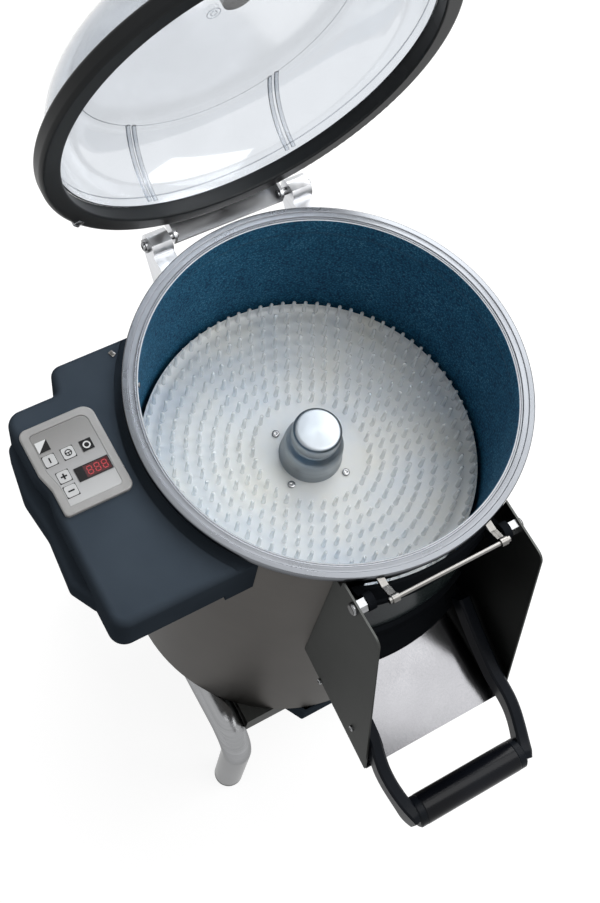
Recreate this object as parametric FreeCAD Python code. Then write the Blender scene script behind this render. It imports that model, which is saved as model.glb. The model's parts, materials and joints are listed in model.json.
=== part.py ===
import FreeCAD, Part
import math
import os

from FreeCAD import Placement, Rotation, Vector

# A floor-standing washer for mussels: an upright steel drum with an abrasive lining, a turning
# nubbed disc, a clear hinged lid, a front discharge door over a chute, and a control box on its
# left side. All sizes are millimetres. The front, with the chute, faces -Y, and +Z is up.
# The pieces are first drawn around the drum's axis, with the floor at z = 0.

# Heights that set the rest
LEG_H = 202.0
DRUM_H = 518.0
DISC_DROP = 166.0

# Drum, rim, lining and inner floor
DRUM_R = 191.0
DRUM_WALL = 2.0
RIM_OUT = 9.0
RIM_IN = 4.7
RIM_H = 22.0
RIM_BEAD = 8.0
RIM_GROOVE = 1.0
RIM_LINE = 1.5
RIM_LINE_DROP = 1.5
RIM_STEP = 3.0
RIM_EDGE_R = 5.0
SOFT_EDGE_R = 2.0
LINING_T = 1.6
LINING_TOP_DROP = 2.5
LINING_LEAN_H = 8.0
FLOOR_DROP = 50.0
PLATE_T = 4.0
SHEET = 2.0

# Disc, hub cap, shaft, bearing and motor
DISC_GAP = 5.0
DISC_T = 6.0
SHAFT_R = 12.5
HUB_WALL = 15.5
HUB_H = 60.0
HUB_TOP_R = 9.0
HUB_SKIRT_OUT = 7.0
HUB_SKIRT_T = 4.0
HUB_FLARE_H = 11.0
HUB_GROOVE = 2.5
HUB_GROOVE_H = 5.0
HUB_LEAD_H = 4.0
COUPLING_T = 12.0
BEARING_WALL = 19.5
BEARING_H = 58.0
BEARING_RISE = 14.0
BEARING_FLANGE_OUT = 32.0
BEARING_FLANGE_T = 8.0
SHAFT_INSET = 2.0
MOTOR_R = 76.0
MOTOR_EDGE_R = 8.0
MOTOR_ROOM = 66.0

# Base box, drain tray, leg frames and feet
BASE_IN_X = 58.0
BASE_IN_Y = 26.0
BASE_H = 42.0
TRAY_IN_X = 71.0
TRAY_OUT = 22.0
TRAY_FLARE = 12.0
TRAY_H = 34.0
TRAY_WALL = 3.0
LEG_R = 19.0
LEG_WALL = 2.0
LEG_OUT_Y = 15.0
LEG_HANG = 2.0
LEG_SLOPE_H = 15.0
LEG_SLOPE_RUN = 34.0
LEG_BEND_R = 35.0
FOOT_H = 12.0
FOOT_PLUG = 18.0
FOOT_EDGE_R = 5.0

# Chute: two cheeks, a sloping floor and a sill over its upper end
CHEEK_X = 91.0
CHEEK_DROP = 10.0
CHEEK_TOP_OUT = 52.5
CHEEK_LOW_OUT = 116.0
CHEEK_CORNER_R = 11.0
CHUTE_LOW = 79.0
CHUTE_DEG = 13.7
SILL_TOP_OUT = 12.0
SILL_FOOT_OUT = 25.0
SILL_TAPER_H = 36.0
SILL_GAP = 6.0
SILL_NOTCH_D = 20.0

# Discharge door, its pivots and its window
PIVOT_OUT = 11.0
PIVOT_DROP = 20.0
PIVOT_R = 4.0
BOLT_HEAD_R = 6.5
BOLT_HEAD_T = 3.5
SPACER_R = 8.0
SPACER_T = 9.0
EYE_R = 9.0
EYE_T = 8.0
EYE_WEB_H = 20.0
EYE_WEB_IN = 22.0
DOOR_GAP = 5.2
DOOR_T = 4.0
DOOR_TOP_GAP = 12.0
DOOR_LAP_TOP = 10.0
DOOR_LAP_LOW = 43.0
DOOR_FRAME_T = 4.0
DOOR_FRAME_H = 24.0
DOOR_BROW_T = 2.0
DOOR_BROW_H = 10.0
DOOR_CHAMFER_H = 6.0
MOUTH_X = 62.0
MOUTH_LIP = 3.0
WINDOW_X = 62.0
WINDOW_HEAD_H = 52.0
WINDOW_SILL_H = 32.0
PANE_SET = 0.5

# Handle: two bowed arms and a round grip
GRIP_OUT = 64.5
GRIP_LOW = 79.0
GRIP_R = 17.5
GRIP_HALF_X = 60.0
GRIP_EDGE_R = 1.5
ARM_T = 14.0
ARM_ROOT_RISE = 16.0
ARM_ROOT_DROP = 12.0
ARM_MID_IN = 17.0
ARM_MID_TOP = 31.0
ARM_LOW_IN = 3.0
ARM_LOW_DROP = 65.0
ARM_LOW_HALF_DROP = 42.0
ARM_SAG_OUT = 31.0
ARM_SAG_DROP = 90.0
ARM_KNEE_IN = 7.0
ARM_BOW = 5.0
ARM_BOW_OUT = 29.0
ARM_NOSE_R = 19.0
ARM_NOSE_BACK = 6.0
ARM_BEND_R = 60.0

# Bar across the front of the rim
BAR_OUT = 15.0
BAR_RISE = 2.0
BAR_R = 2.3
BAR_IN_X = 5.5
BAR_TIP_R = 3.2
BAR_TIP_L = 3.0
BAR_STRIP_W = 7.0
BAR_STRIP_T = 3.0
BAR_EYE_R = 4.4

# Lid hinge
HINGE_OUT = 11.6
HINGE_DROP = 2.0
HINGE_R = 4.0
HINGE_HEAD_R = 7.0
HINGE_HEAD_T = 3.0
HINGE_X = 79.0
LUG_T = 22.0
LUG_H = 60.0
LUG_NOSE_R = 11.0
LUG_FOOT = 5.6
LUG_GAP = 6.0
LID_OPEN_DEG = 82.0

# Lid: ring, dome, knob and bent bracket
LID_SEAT = 1.0
LID_RING_OUT = 3.4
LID_RING_IN = 0.2
LID_RING_LIP = 2.0
LID_RING_H = 16.0
LID_RING_EDGE_R = 4.0
DOME_H = 77.0
DOME_SHOULDER = 44.2
DOME_WALL_H = 4.0
DOME_BULGE = 0.66
DOME_T = 3.0
DOME_FOOT = 5.7
DOME_FLANGE_OUT = 6.5
KNOB_R = 15.0
KNOB_H = 14.0
KNOB_EDGE_R = 3.0
KNOB_X = 14.0
KNOB_Y = -30.0
LEAF_T = 3.0
LEAF_LAP = 9.0
LEAF_BACK = 8.0
LEAF_LOW = 6.0
LEAF_BEND_R = 4.0
EAR_FRONT = 7.0

# Control box
BOX_DROP = 20.0
BOX_H = 65.0
BOX_OUT = 99.0
BOX_FRONT_Y = 123.5
BOX_BACK_Y = 139.5
BOX_STEP_OUT = 36.0
BOX_STEP_Y = 112.0
BOX_STEP_RUN = 6.0
BOX_CORNER_R = 16.0
BOX_WAIST = 4.5
BOX_WAIST_Y = 24.0
BOX_WAIST_L = 44.0
BOX_EDGE_R = 8.0
BOX_LOW_EDGE_R = 10.0
BOX_TAB_X = 176.0
BOX_TAB_D = 15.0
BOX_TAB_H = 18.0
BOX_TAB_DROP = 4.0
BOX_GUTTER_OUT = 7.0
BOX_GUTTER_D = 5.0
BULGE_OUT = 13.0
BULGE_DROP = 30.0
BULGE_BACK_Y = 98.0
BULGE_FRONT_Y = 84.0
BULGE_ROOT = 30.0
BULGE_BEND_R = 30.0
BULGE_CORNER_R = 10.0
BULGE_EDGE_R = 6.0

# Bezel, keypad, keys and display
PANEL_IN = 3.5
PANEL_W = 73.5
PANEL_BACK_Y = 88.0
PANEL_FRONT_Y = 8.0
PANEL_WAVE = 4.5
PANEL_WAVE_Y = 22.0
PANEL_WAVE_L = 18.0
BEZEL_T = 4.0
BEZEL_RIM = 8.0
BEZEL_EDGE_R = 1.8
BEZEL_RECESS = 1.4
KEYPAD_T = 1.0
KEY = 11.5
KEY_R = 2.0
KEY_RISE = 0.6
KEY_FIRST_X = 15.5
KEY_FIRST_Y = 23.0
KEY_PITCH_X = 18.4
KEY_PITCH_Y = 15.6
KEY_GROUP_GAP = 4.4
DISPLAY_X = 31.0
DISPLAY_Y = 63.0
DISPLAY_W = 33.0
DISPLAY_H = 13.3
DISPLAY_R = 1.5

# Clearances
CURVE_GAP = 0.3
RUN_GAP = 0.05
HOLE_GAP = 0.2
EYE_GAP = 0.5
MOVE_GAP = 5.2

# Heights that follow
DRUM_LOW = LEG_H
RIM_TOP = DRUM_LOW + DRUM_H
RIM_LOW = RIM_TOP - RIM_H
DISC_TOP = RIM_TOP - DISC_DROP
DISC_LOW = DISC_TOP - DISC_T
FLOOR_TOP = DISC_TOP - FLOOR_DROP
BEARING_TOP = FLOOR_TOP + BEARING_RISE
BEARING_LOW = BEARING_TOP - BEARING_H
MOUTH_LOW = DISC_TOP + MOUTH_LIP
DOOR_LOW = MOUTH_LOW - DOOR_LAP_LOW
DOOR_TOP = RIM_LOW - DOOR_TOP_GAP
MOUTH_TOP = DOOR_TOP - DOOR_LAP_TOP
CHUTE_Z = DOOR_LOW - CHUTE_LOW
GRIP_Z = DOOR_LOW - GRIP_LOW
PIVOT_Z = RIM_TOP - PIVOT_DROP
HINGE_Z = RIM_TOP - HINGE_DROP
LID_LOW = RIM_TOP + LID_SEAT
LID_RING_TOP = LID_LOW + LID_RING_H
BAR_STRIP_TOP = LID_LOW - MOVE_GAP
BOX_TOP = RIM_TOP - BOX_DROP
BOX_LOW = BOX_TOP - BOX_H

# Radii and places that follow
DRUM_BORE_R = DRUM_R - DRUM_WALL
DRUM_CLEAR_R = DRUM_R + CURVE_GAP
RIM_R = DRUM_R + RIM_OUT
RIM_BORE_R = DRUM_R - RIM_IN
RIM_CLEAR_R = RIM_R + CURVE_GAP
LINING_R = DRUM_BORE_R - CURVE_GAP
LINING_BORE_R = LINING_R - LINING_T
DISC_R = LINING_BORE_R - DISC_GAP
HUB_R = SHAFT_R + HUB_WALL
BEARING_R = SHAFT_R + BEARING_WALL
BASE_X = DRUM_R - BASE_IN_X
BASE_Y = DRUM_R - BASE_IN_Y
LEG_X = BASE_X + LEG_R + CURVE_GAP
LEG_Y = BASE_Y + LEG_OUT_Y
INSIDE_Y = DRUM_R / 2
CHEEK_IN_X = CHEEK_X - SHEET
CHEEK_TOP_Y = DRUM_R + CHEEK_TOP_OUT
CHEEK_LOW_Y = DRUM_R + CHEEK_LOW_OUT
CHUTE_BACK_Z = CHUTE_Z + (CHEEK_LOW_Y - INSIDE_Y) * math.tan(math.radians(CHUTE_DEG))
PIVOT_Y = DRUM_R + PIVOT_OUT
ARM_OUT_X = CHEEK_IN_X - MOVE_GAP
EYE_OUT_X = CHEEK_IN_X - SPACER_T - EYE_GAP
EYE_IN_X = EYE_OUT_X - EYE_T
DOOR_R = DRUM_R + DOOR_GAP
DOOR_OUT_R = DOOR_R + DOOR_T
GRIP_Y = CHEEK_LOW_Y + GRIP_OUT
BAR_Y = RIM_R + BAR_OUT
BAR_HALF_X = EYE_IN_X - BAR_IN_X
HINGE_Y = RIM_R + HINGE_OUT
LEAF_HALF_X = HINGE_X - LUG_T / 2 - LUG_GAP
LID_RING_R = RIM_R + LID_RING_OUT
LID_RING_BORE_R = RIM_BORE_R + LID_RING_IN
DOME_R = LID_RING_BORE_R - CURVE_GAP
BOX_OUT_X = -DRUM_R - BOX_OUT
BOX_NEAR_X = -HINGE_X - LUG_T / 2 - LUG_GAP
UP = Vector(0, 0, 1)
PIECES = {}


def box(x0, x1, y0, y1, z0, z1):
    """A block between two corners."""
    return Part.makeBox(x1 - x0, y1 - y0, z1 - z0, Vector(x0, y0, z0))


def post(r, z0, z1, x=0.0, y=0.0):
    """An upright cylinder."""
    return Part.makeCylinder(r, z1 - z0, Vector(x, y, z0), UP)


def rod(r, x0, x1, y, z):
    """A cylinder lying along X."""
    return Part.makeCylinder(r, x1 - x0, Vector(x0, y, z), Vector(1, 0, 0))


def turned(points, start=0.0, sweep=360.0):
    """A profile of (radius, height) points turned about the drum's axis."""
    corners = [Vector(r, 0, z) for r, z in points]
    face = Part.Face(Part.makePolygon(corners + corners[:1]))
    face.rotate(Vector(0, 0, 0), UP, start)
    return face.revolve(Vector(0, 0, 0), UP, sweep)


def at_front(points, half_deg):
    """A turned profile that covers only the drum's front, to the same angle on both sides."""
    return turned(points, -90 - half_deg, 2 * half_deg)


def rounded(points, radii):
    """A closed flat wire through corner points, each corner rounded by its own radius."""
    count = len(points)
    edges = []
    ends = []
    for i in range(count):
        corner = points[i]
        to_last = (points[i - 1] - corner).normalize()
        to_next = (points[(i + 1) % count] - corner).normalize()
        if radii[i] <= 0:
            ends.append((corner, corner))
            continue
        half = to_last.getAngle(to_next) / 2
        run = radii[i] / math.tan(half)
        first = corner + to_last * run
        last = corner + to_next * run
        inward = (to_last + to_next).normalize()
        middle = corner + inward * (radii[i] / math.sin(half) - radii[i])
        ends.append((first, last))
        edges.append(Part.Arc(first, middle, last).toShape())
    for i in range(count):
        start = ends[i][1]
        stop = ends[(i + 1) % count][0]
        if (stop - start).Length > 1e-6:
            edges.append(Part.LineSegment(start, stop).toShape())
    return Part.Wire(Part.__sortEdges__(edges))


def plan(points, radii, z0, z1):
    """A plan outline of (x, y) points with rounded corners, raised from z0 to z1."""
    wire = rounded([Vector(x, y, z0) for x, y in points], radii)
    return Part.Face(wire).extrude(Vector(0, 0, z1 - z0))


def side(points, radii, x0, x1):
    """A side outline of (y, z) points with rounded corners, from x0 to x1."""
    wire = rounded([Vector(x0, y, z) for y, z in points], radii)
    return Part.Face(wire).extrude(Vector(x1 - x0, 0, 0))


def bent(points, bend_r, tube_r):
    """A round bar along a bent path of straight runs and tangent arcs."""
    edges = []
    start = points[0]
    for i in range(1, len(points) - 1):
        to_last = (points[i - 1] - points[i]).normalize()
        to_next = (points[i + 1] - points[i]).normalize()
        half = to_last.getAngle(to_next) / 2
        run = bend_r / math.tan(half)
        first = points[i] + to_last * run
        last = points[i] + to_next * run
        inward = (to_last + to_next).normalize()
        middle = points[i] + inward * (bend_r / math.sin(half) - bend_r)
        edges.append(Part.LineSegment(start, first).toShape())
        edges.append(Part.Arc(first, middle, last).toShape())
        start = last
    edges.append(Part.LineSegment(start, points[-1]).toShape())
    path = Part.Wire(edges)
    along = (points[1] - points[0]).normalize()
    ring = Part.Wire(Part.makeCircle(tube_r, points[0], along))
    return path.makePipeShell([ring], True, False)


def both(name, left):
    """Keeps a left piece and its mirror image on the right."""
    PIECES["left_" + name] = left
    PIECES["right_" + name] = left.mirror(Vector(0, 0, 0), Vector(1, 0, 0))


def clear_of_drum(shape):
    """Cuts a piece back from the drum's wall and from the rim above it."""
    above = RIM_TOP + RIM_R
    return shape.cut(post(DRUM_CLEAR_R, 0, above)).cut(post(RIM_CLEAR_R, RIM_LOW - CURVE_GAP, above))


def edges_at(shape, z):
    """The edges of a shape that lie whole at one height."""
    return [e for e in shape.Edges if abs(e.BoundBox.ZMin - z) < 1e-4 and abs(e.BoundBox.ZMax - z) < 1e-4]


def circles(shape, r, z):
    """The round edges of one radius at one height."""
    return [e for e in edges_at(shape, z) if abs(e.BoundBox.XMax - r) < 1e-3]


def edges_across(shape, x):
    """The edges of a shape that lie whole in one plane across X."""
    return [e for e in shape.Edges if abs(e.BoundBox.XMin - x) < 1e-4 and abs(e.BoundBox.XMax - x) < 1e-4]


def make_drum():
    """The steel drum with its discharge mouth, its lining, inner floor and bottom plate."""
    wall = post(DRUM_R, DRUM_LOW, RIM_LOW).cut(post(DRUM_BORE_R, DRUM_LOW, RIM_LOW))
    mouth = box(-MOUTH_X, MOUTH_X, -RIM_R, -INSIDE_Y, MOUTH_LOW, MOUTH_TOP)
    PIECES["drum_shell"] = wall.cut(mouth)
    collar_r = RIM_BORE_R - CURVE_GAP
    collar_low = RIM_LOW - CURVE_GAP
    lining_top = RIM_TOP - LINING_TOP_DROP
    lining = turned([
        (LINING_BORE_R, FLOOR_TOP),
        (LINING_R, FLOOR_TOP),
        (LINING_R, collar_low - LINING_LEAN_H),
        (collar_r, collar_low),
        (collar_r, lining_top),
        (collar_r - LINING_T, lining_top),
        (collar_r - LINING_T, collar_low),
        (LINING_BORE_R, collar_low - LINING_LEAN_H),
    ])
    PIECES["abrasive_lining"] = lining.cut(mouth)
    floor = post(LINING_R, FLOOR_TOP - PLATE_T, FLOOR_TOP)
    PIECES["drum_floor"] = floor.cut(post(BEARING_R + CURVE_GAP, FLOOR_TOP - PLATE_T, FLOOR_TOP))
    PIECES["drum_bottom"] = post(DRUM_BORE_R - CURVE_GAP, DRUM_LOW, DRUM_LOW + SHEET)


def make_rim():
    """The cast ring on top of the drum: a round bead, a groove, a thin raised line and a land."""
    bead_r = RIM_R - RIM_BEAD
    line_r = bead_r - RIM_GROOVE
    land = RIM_TOP - RIM_STEP
    ring = turned([
        (RIM_BORE_R, RIM_LOW),
        (RIM_R, RIM_LOW),
        (RIM_R, RIM_TOP),
        (bead_r, RIM_TOP),
        (bead_r, land),
        (line_r, land),
        (line_r, RIM_TOP - RIM_LINE_DROP),
        (line_r - RIM_LINE, RIM_TOP - RIM_LINE_DROP),
        (line_r - RIM_LINE, land),
        (RIM_BORE_R, land),
    ])
    ring = ring.makeFillet(RIM_EDGE_R, circles(ring, RIM_R, RIM_TOP))
    ring = ring.makeFillet(SOFT_EDGE_R, circles(ring, bead_r, RIM_TOP))
    PIECES["drum_rim"] = ring.makeFillet(SOFT_EDGE_R, circles(ring, RIM_R, RIM_LOW))


def make_drive():
    """The bearing housing in the drum's floor, the motor under it, the shaft, disc and hub cap."""
    under = FLOOR_TOP - PLATE_T
    flange_r = BEARING_R + BEARING_FLANGE_OUT
    bore_r = SHAFT_R + RUN_GAP
    PIECES["bearing_housing"] = turned([
        (bore_r, BEARING_LOW),
        (BEARING_R, BEARING_LOW),
        (BEARING_R, under - BEARING_FLANGE_T),
        (flange_r, under - BEARING_FLANGE_T),
        (flange_r, under),
        (BEARING_R, under),
        (BEARING_R, BEARING_TOP),
        (bore_r, BEARING_TOP),
    ])
    motor_low = DRUM_LOW + SHEET + MOTOR_ROOM
    motor = post(MOTOR_R, motor_low, BEARING_LOW)
    PIECES["motor"] = motor.makeFillet(MOTOR_EDGE_R, circles(motor, MOTOR_R, motor_low))
    disc = post(DISC_R, DISC_LOW, DISC_TOP)
    PIECES["wash_disc"] = disc.makeFillet(SOFT_EDGE_R, circles(disc, DISC_R, DISC_TOP))
    shaft = post(SHAFT_R, BEARING_LOW + SHAFT_INSET, DISC_LOW)
    PIECES["drive_shaft"] = shaft.fuse(post(HUB_R, DISC_LOW - COUPLING_T, DISC_LOW))
    hub_top = DISC_TOP + HUB_H
    skirt_top = DISC_TOP + HUB_SKIRT_T
    groove_low = skirt_top + HUB_FLARE_H
    groove_top = groove_low + HUB_LEAD_H + HUB_GROOVE_H
    cap = turned([
        (0, DISC_TOP),
        (HUB_R + HUB_SKIRT_OUT, DISC_TOP),
        (HUB_R + HUB_SKIRT_OUT, skirt_top),
        (HUB_R, groove_low),
        (HUB_R - HUB_GROOVE, groove_low + HUB_LEAD_H),
        (HUB_R - HUB_GROOVE, groove_top),
        (HUB_R, groove_top + HUB_LEAD_H),
        (HUB_R, hub_top),
        (0, hub_top),
    ])
    PIECES["hub_cap"] = cap.makeFillet(HUB_TOP_R, circles(cap, HUB_R, hub_top))


def make_base():
    """The folded base box under the drum, open below, and the drain tray on its front."""
    low = DRUM_LOW - BASE_H
    in_x = BASE_X - SHEET
    in_y = BASE_Y - SHEET
    outer = box(-BASE_X, BASE_X, -BASE_Y, BASE_Y, low, DRUM_LOW)
    PIECES["base_box"] = outer.cut(box(-in_x, in_x, -in_y, in_y, low, DRUM_LOW - SHEET))
    narrow = BASE_X - TRAY_IN_X
    wide = narrow + TRAY_FLARE
    front = BASE_Y + TRAY_OUT
    wall = TRAY_WALL
    tray = plan([(-narrow, -front), (narrow, -front), (wide, -BASE_Y), (-wide, -BASE_Y)],
                [wall, wall, 0, 0], low, low + TRAY_H)
    hollow = [
        (-narrow + wall, -front + wall),
        (narrow - wall, -front + wall),
        (wide - 2 * wall, -BASE_Y - wall),
        (-wide + 2 * wall, -BASE_Y - wall),
    ]
    PIECES["drain_tray"] = tray.cut(plan(hollow, [0] * 4, low + wall, low + TRAY_H))


def make_legs():
    """Two bent-tube leg frames beside the base box, each with a plugged foot at both ends."""
    run_z = DRUM_LOW - LEG_R - LEG_HANG
    bend_z = run_z - LEG_SLOPE_H
    path = [
        Vector(-LEG_X, -LEG_Y, FOOT_H),
        Vector(-LEG_X, -LEG_Y, bend_z),
        Vector(-LEG_X, -LEG_Y + LEG_SLOPE_RUN, run_z),
        Vector(-LEG_X, LEG_Y - LEG_SLOPE_RUN, run_z),
        Vector(-LEG_X, LEG_Y, bend_z),
        Vector(-LEG_X, LEG_Y, FOOT_H),
    ]
    bore_r = LEG_R - LEG_WALL
    both("leg_frame", bent(path, LEG_BEND_R, LEG_R).cut(bent(path, LEG_BEND_R, bore_r)))
    plug_r = bore_r - CURVE_GAP
    plug_top = FOOT_H + FOOT_PLUG
    foot = turned([(0, 0), (LEG_R, 0), (LEG_R, FOOT_H), (plug_r, FOOT_H), (plug_r, plug_top), (0, plug_top)])
    foot = foot.makeFillet(FOOT_EDGE_R, circles(foot, LEG_R, 0))
    both("front_foot", foot.translated(Vector(-LEG_X, -LEG_Y, 0)))
    both("rear_foot", foot.translated(Vector(-LEG_X, LEG_Y, 0)))


def make_chute():
    """The two cheeks, the sloping floor between them, and the sill over its upper end."""
    top = RIM_TOP - CHEEK_DROP
    outline = [(-INSIDE_Y, top), (-CHEEK_TOP_Y, top), (-CHEEK_LOW_Y, CHUTE_Z), (-INSIDE_Y, CHUTE_BACK_Z)]
    cheek = side(outline, [0, CHEEK_CORNER_R, SOFT_EDGE_R, 0], -CHEEK_X, -CHEEK_IN_X)
    cheek = cheek.cut(rod(PIVOT_R + HOLE_GAP, -CHEEK_X, -CHEEK_IN_X, -PIVOT_Y, PIVOT_Z))
    both("cheek", clear_of_drum(cheek))
    tread = [
        (-INSIDE_Y, CHUTE_BACK_Z),
        (-CHEEK_LOW_Y, CHUTE_Z),
        (-CHEEK_LOW_Y, CHUTE_Z + SHEET),
        (-INSIDE_Y, CHUTE_BACK_Z + SHEET),
    ]
    PIECES["chute_floor"] = clear_of_drum(side(tread, [0] * 4, -CHEEK_IN_X, CHEEK_IN_X))
    sill_r = DRUM_R + SILL_FOOT_OUT
    sill_top = DOOR_LOW - SILL_GAP
    sill = turned([
        (DRUM_CLEAR_R, CHUTE_Z),
        (sill_r, CHUTE_Z),
        (sill_r, sill_top - SILL_TAPER_H),
        (DRUM_R + SILL_TOP_OUT, sill_top),
        (DRUM_CLEAR_R, sill_top),
    ])
    half = CHEEK_IN_X - CURVE_GAP
    notch_x = ARM_OUT_X - ARM_T - MOVE_GAP
    notch_z = sill_top - SILL_NOTCH_D
    sill = sill.common(box(-half, half, -sill_r, -INSIDE_Y, CHUTE_Z, sill_top))
    sill = sill.cut(box(-half, -notch_x, -sill_r, 0, notch_z, sill_top))
    sill = sill.cut(box(notch_x, half, -sill_r, 0, notch_z, sill_top))
    below = [(-INSIDE_Y, CHUTE_Z), (-CHEEK_LOW_Y, CHUTE_Z), (-CHEEK_LOW_Y, CHUTE_Z + SHEET),
             (-INSIDE_Y, CHUTE_BACK_Z + SHEET)]
    PIECES["discharge_sill"] = sill.cut(side(below, [0] * 4, -sill_r, sill_r))


def make_pivot_bolts():
    """Each cheek's pivot bolt: a domed head outside, a hexagon spacer inside, and the pin."""
    head_x = -CHEEK_X - BOLT_HEAD_T
    head = rod(BOLT_HEAD_R, head_x, -CHEEK_X, -PIVOT_Y, PIVOT_Z)
    head = head.makeFillet(SOFT_EDGE_R, edges_across(head, head_x))
    pin = rod(PIVOT_R, -CHEEK_X, -EYE_IN_X, -PIVOT_Y, PIVOT_Z)
    corners = []
    for i in range(6):
        turn = math.radians(60 * i)
        corners.append((-PIVOT_Y + SPACER_R * math.cos(turn), PIVOT_Z + SPACER_R * math.sin(turn)))
    spacer = side(corners, [0] * 6, -CHEEK_IN_X, -CHEEK_IN_X + SPACER_T)
    both("pivot_bolt", head.fuse(pin).fuse(spacer))


def make_door():
    """The curved door with its two pivot eyes, its raised bands and its pale window."""
    half_deg = math.degrees(math.asin(EYE_OUT_X / DOOR_OUT_R))
    window_low = DOOR_LOW + WINDOW_SILL_H
    window_top = DOOR_TOP - WINDOW_HEAD_H
    frame_r = DOOR_OUT_R + DOOR_FRAME_T
    brow_r = DOOR_OUT_R + DOOR_BROW_T
    brow_top = window_top + DOOR_BROW_H
    panel = at_front([(DOOR_R, DOOR_LOW), (DOOR_OUT_R, DOOR_LOW), (DOOR_OUT_R, DOOR_TOP), (DOOR_R, DOOR_TOP)],
                     half_deg)
    band = at_front([
        (DOOR_R, DOOR_LOW),
        (frame_r, DOOR_LOW),
        (frame_r, DOOR_LOW + DOOR_FRAME_H),
        (DOOR_R, DOOR_LOW + DOOR_FRAME_H + DOOR_CHAMFER_H),
    ], half_deg)
    brow = at_front([
        (DOOR_R, window_top),
        (brow_r, window_top),
        (brow_r, brow_top),
        (DOOR_R, brow_top + DOOR_CHAMFER_H),
    ], half_deg)
    panel = panel.fuse(band).fuse(brow)
    panel = panel.cut(box(-WINDOW_X, WINDOW_X, -2 * DRUM_R, -INSIDE_Y, window_low, window_top))
    web_low = DOOR_TOP - EYE_WEB_H
    for x0 in (-EYE_OUT_X, EYE_IN_X):
        web = side([
            (-PIVOT_Y - EYE_R / 2, PIVOT_Z),
            (-PIVOT_Y + EYE_R / 2, PIVOT_Z - EYE_R / 2),
            (-PIVOT_Y + EYE_WEB_IN, DOOR_TOP),
            (-PIVOT_Y + EYE_WEB_IN, web_low),
            (-PIVOT_Y + EYE_R / 2, web_low),
        ], [0] * 5, x0, x0 + EYE_T)
        web = web.cut(post(DOOR_R, 0, RIM_TOP))
        panel = panel.fuse(web).fuse(rod(EYE_R, x0, x0 + EYE_T, -PIVOT_Y, PIVOT_Z))
        panel = panel.cut(rod(PIVOT_R + RUN_GAP, x0, x0 + EYE_T, -PIVOT_Y, PIVOT_Z))
    PIECES["door_panel"] = panel.removeSplitter()
    pane = at_front([
        (DOOR_R + PANE_SET, window_low),
        (DOOR_OUT_R - PANE_SET, window_low),
        (DOOR_OUT_R - PANE_SET, window_top),
        (DOOR_R + PANE_SET, window_top),
    ], half_deg)
    PIECES["door_window"] = pane.common(box(-WINDOW_X, WINDOW_X, -2 * DRUM_R, 0, 0, RIM_TOP))


def make_handle():
    """The handle: each arm is a side outline crossed with a plan outline, and the grip joins them."""
    root_y = -DRUM_R
    mid_y = -CHEEK_LOW_Y + ARM_MID_IN
    tip_y = -GRIP_Y - ARM_NOSE_BACK
    nose_y = -GRIP_Y - ARM_NOSE_R
    root_top = Vector(0, root_y, DOOR_LOW + ARM_ROOT_RISE)
    root_low = Vector(0, root_y, DOOR_LOW - ARM_ROOT_DROP)
    tip_top = Vector(0, tip_y, GRIP_Z + ARM_NOSE_R)
    tip_low = Vector(0, tip_y, GRIP_Z - ARM_NOSE_R)
    upper = Part.Arc(root_top, Vector(0, mid_y, DOOR_LOW - ARM_MID_TOP), tip_top).toShape()
    nose = Part.Arc(tip_top, Vector(0, nose_y, GRIP_Z), tip_low).toShape()
    dip = Vector(0, -CHEEK_LOW_Y + ARM_LOW_IN, DOOR_LOW - ARM_LOW_DROP)
    half_way = Vector(0, (root_y + dip.y) / 2, DOOR_LOW - ARM_LOW_HALF_DROP)
    sag = Vector(0, -CHEEK_LOW_Y - ARM_SAG_OUT, DOOR_LOW - ARM_SAG_DROP)
    lower = Part.Arc(tip_low, sag, dip).toShape()
    under = Part.Arc(dip, half_way, root_low).toShape()
    root = Part.LineSegment(root_low, root_top).toShape()
    profile = Part.Face(Part.Wire(Part.__sortEdges__([upper, nose, lower, under, root])))
    profile = profile.translated(Vector(-ARM_OUT_X, 0, 0)).extrude(Vector(ARM_OUT_X, 0, 0))
    knee_y = -CHEEK_LOW_Y + ARM_KNEE_IN
    bow_y = -CHEEK_LOW_Y - ARM_BOW_OUT
    arm_in_x = ARM_OUT_X - ARM_T
    track = [
        (-ARM_OUT_X, root_y),
        (-ARM_OUT_X, knee_y),
        (-ARM_OUT_X - ARM_BOW, bow_y),
        (-GRIP_HALF_X - ARM_T, nose_y),
        (-GRIP_HALF_X, nose_y),
        (-GRIP_HALF_X, -GRIP_Y + ARM_NOSE_R),
        (-arm_in_x - ARM_BOW, bow_y),
        (-arm_in_x, knee_y),
        (-arm_in_x, root_y),
    ]
    bends = [0, ARM_BEND_R, ARM_BEND_R / 2, ARM_NOSE_BACK, 0, SOFT_EDGE_R, ARM_NOSE_BACK, ARM_BEND_R, 0]
    arm = profile.common(plan(track, bends, GRIP_Z - 2 * ARM_NOSE_R, DOOR_LOW + 2 * ARM_ROOT_RISE))
    arm = arm.cut(post(DOOR_OUT_R + DOOR_FRAME_T + CURVE_GAP, DOOR_LOW, RIM_TOP))
    both("handle_arm", arm.cut(post(DOOR_R, 0, DOOR_LOW)))
    grip = rod(GRIP_R, -GRIP_HALF_X, GRIP_HALF_X, -GRIP_Y, GRIP_Z)
    ends = edges_across(grip, -GRIP_HALF_X) + edges_across(grip, GRIP_HALF_X)
    PIECES["handle_grip"] = grip.makeFillet(GRIP_EDGE_R, ends)


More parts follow.
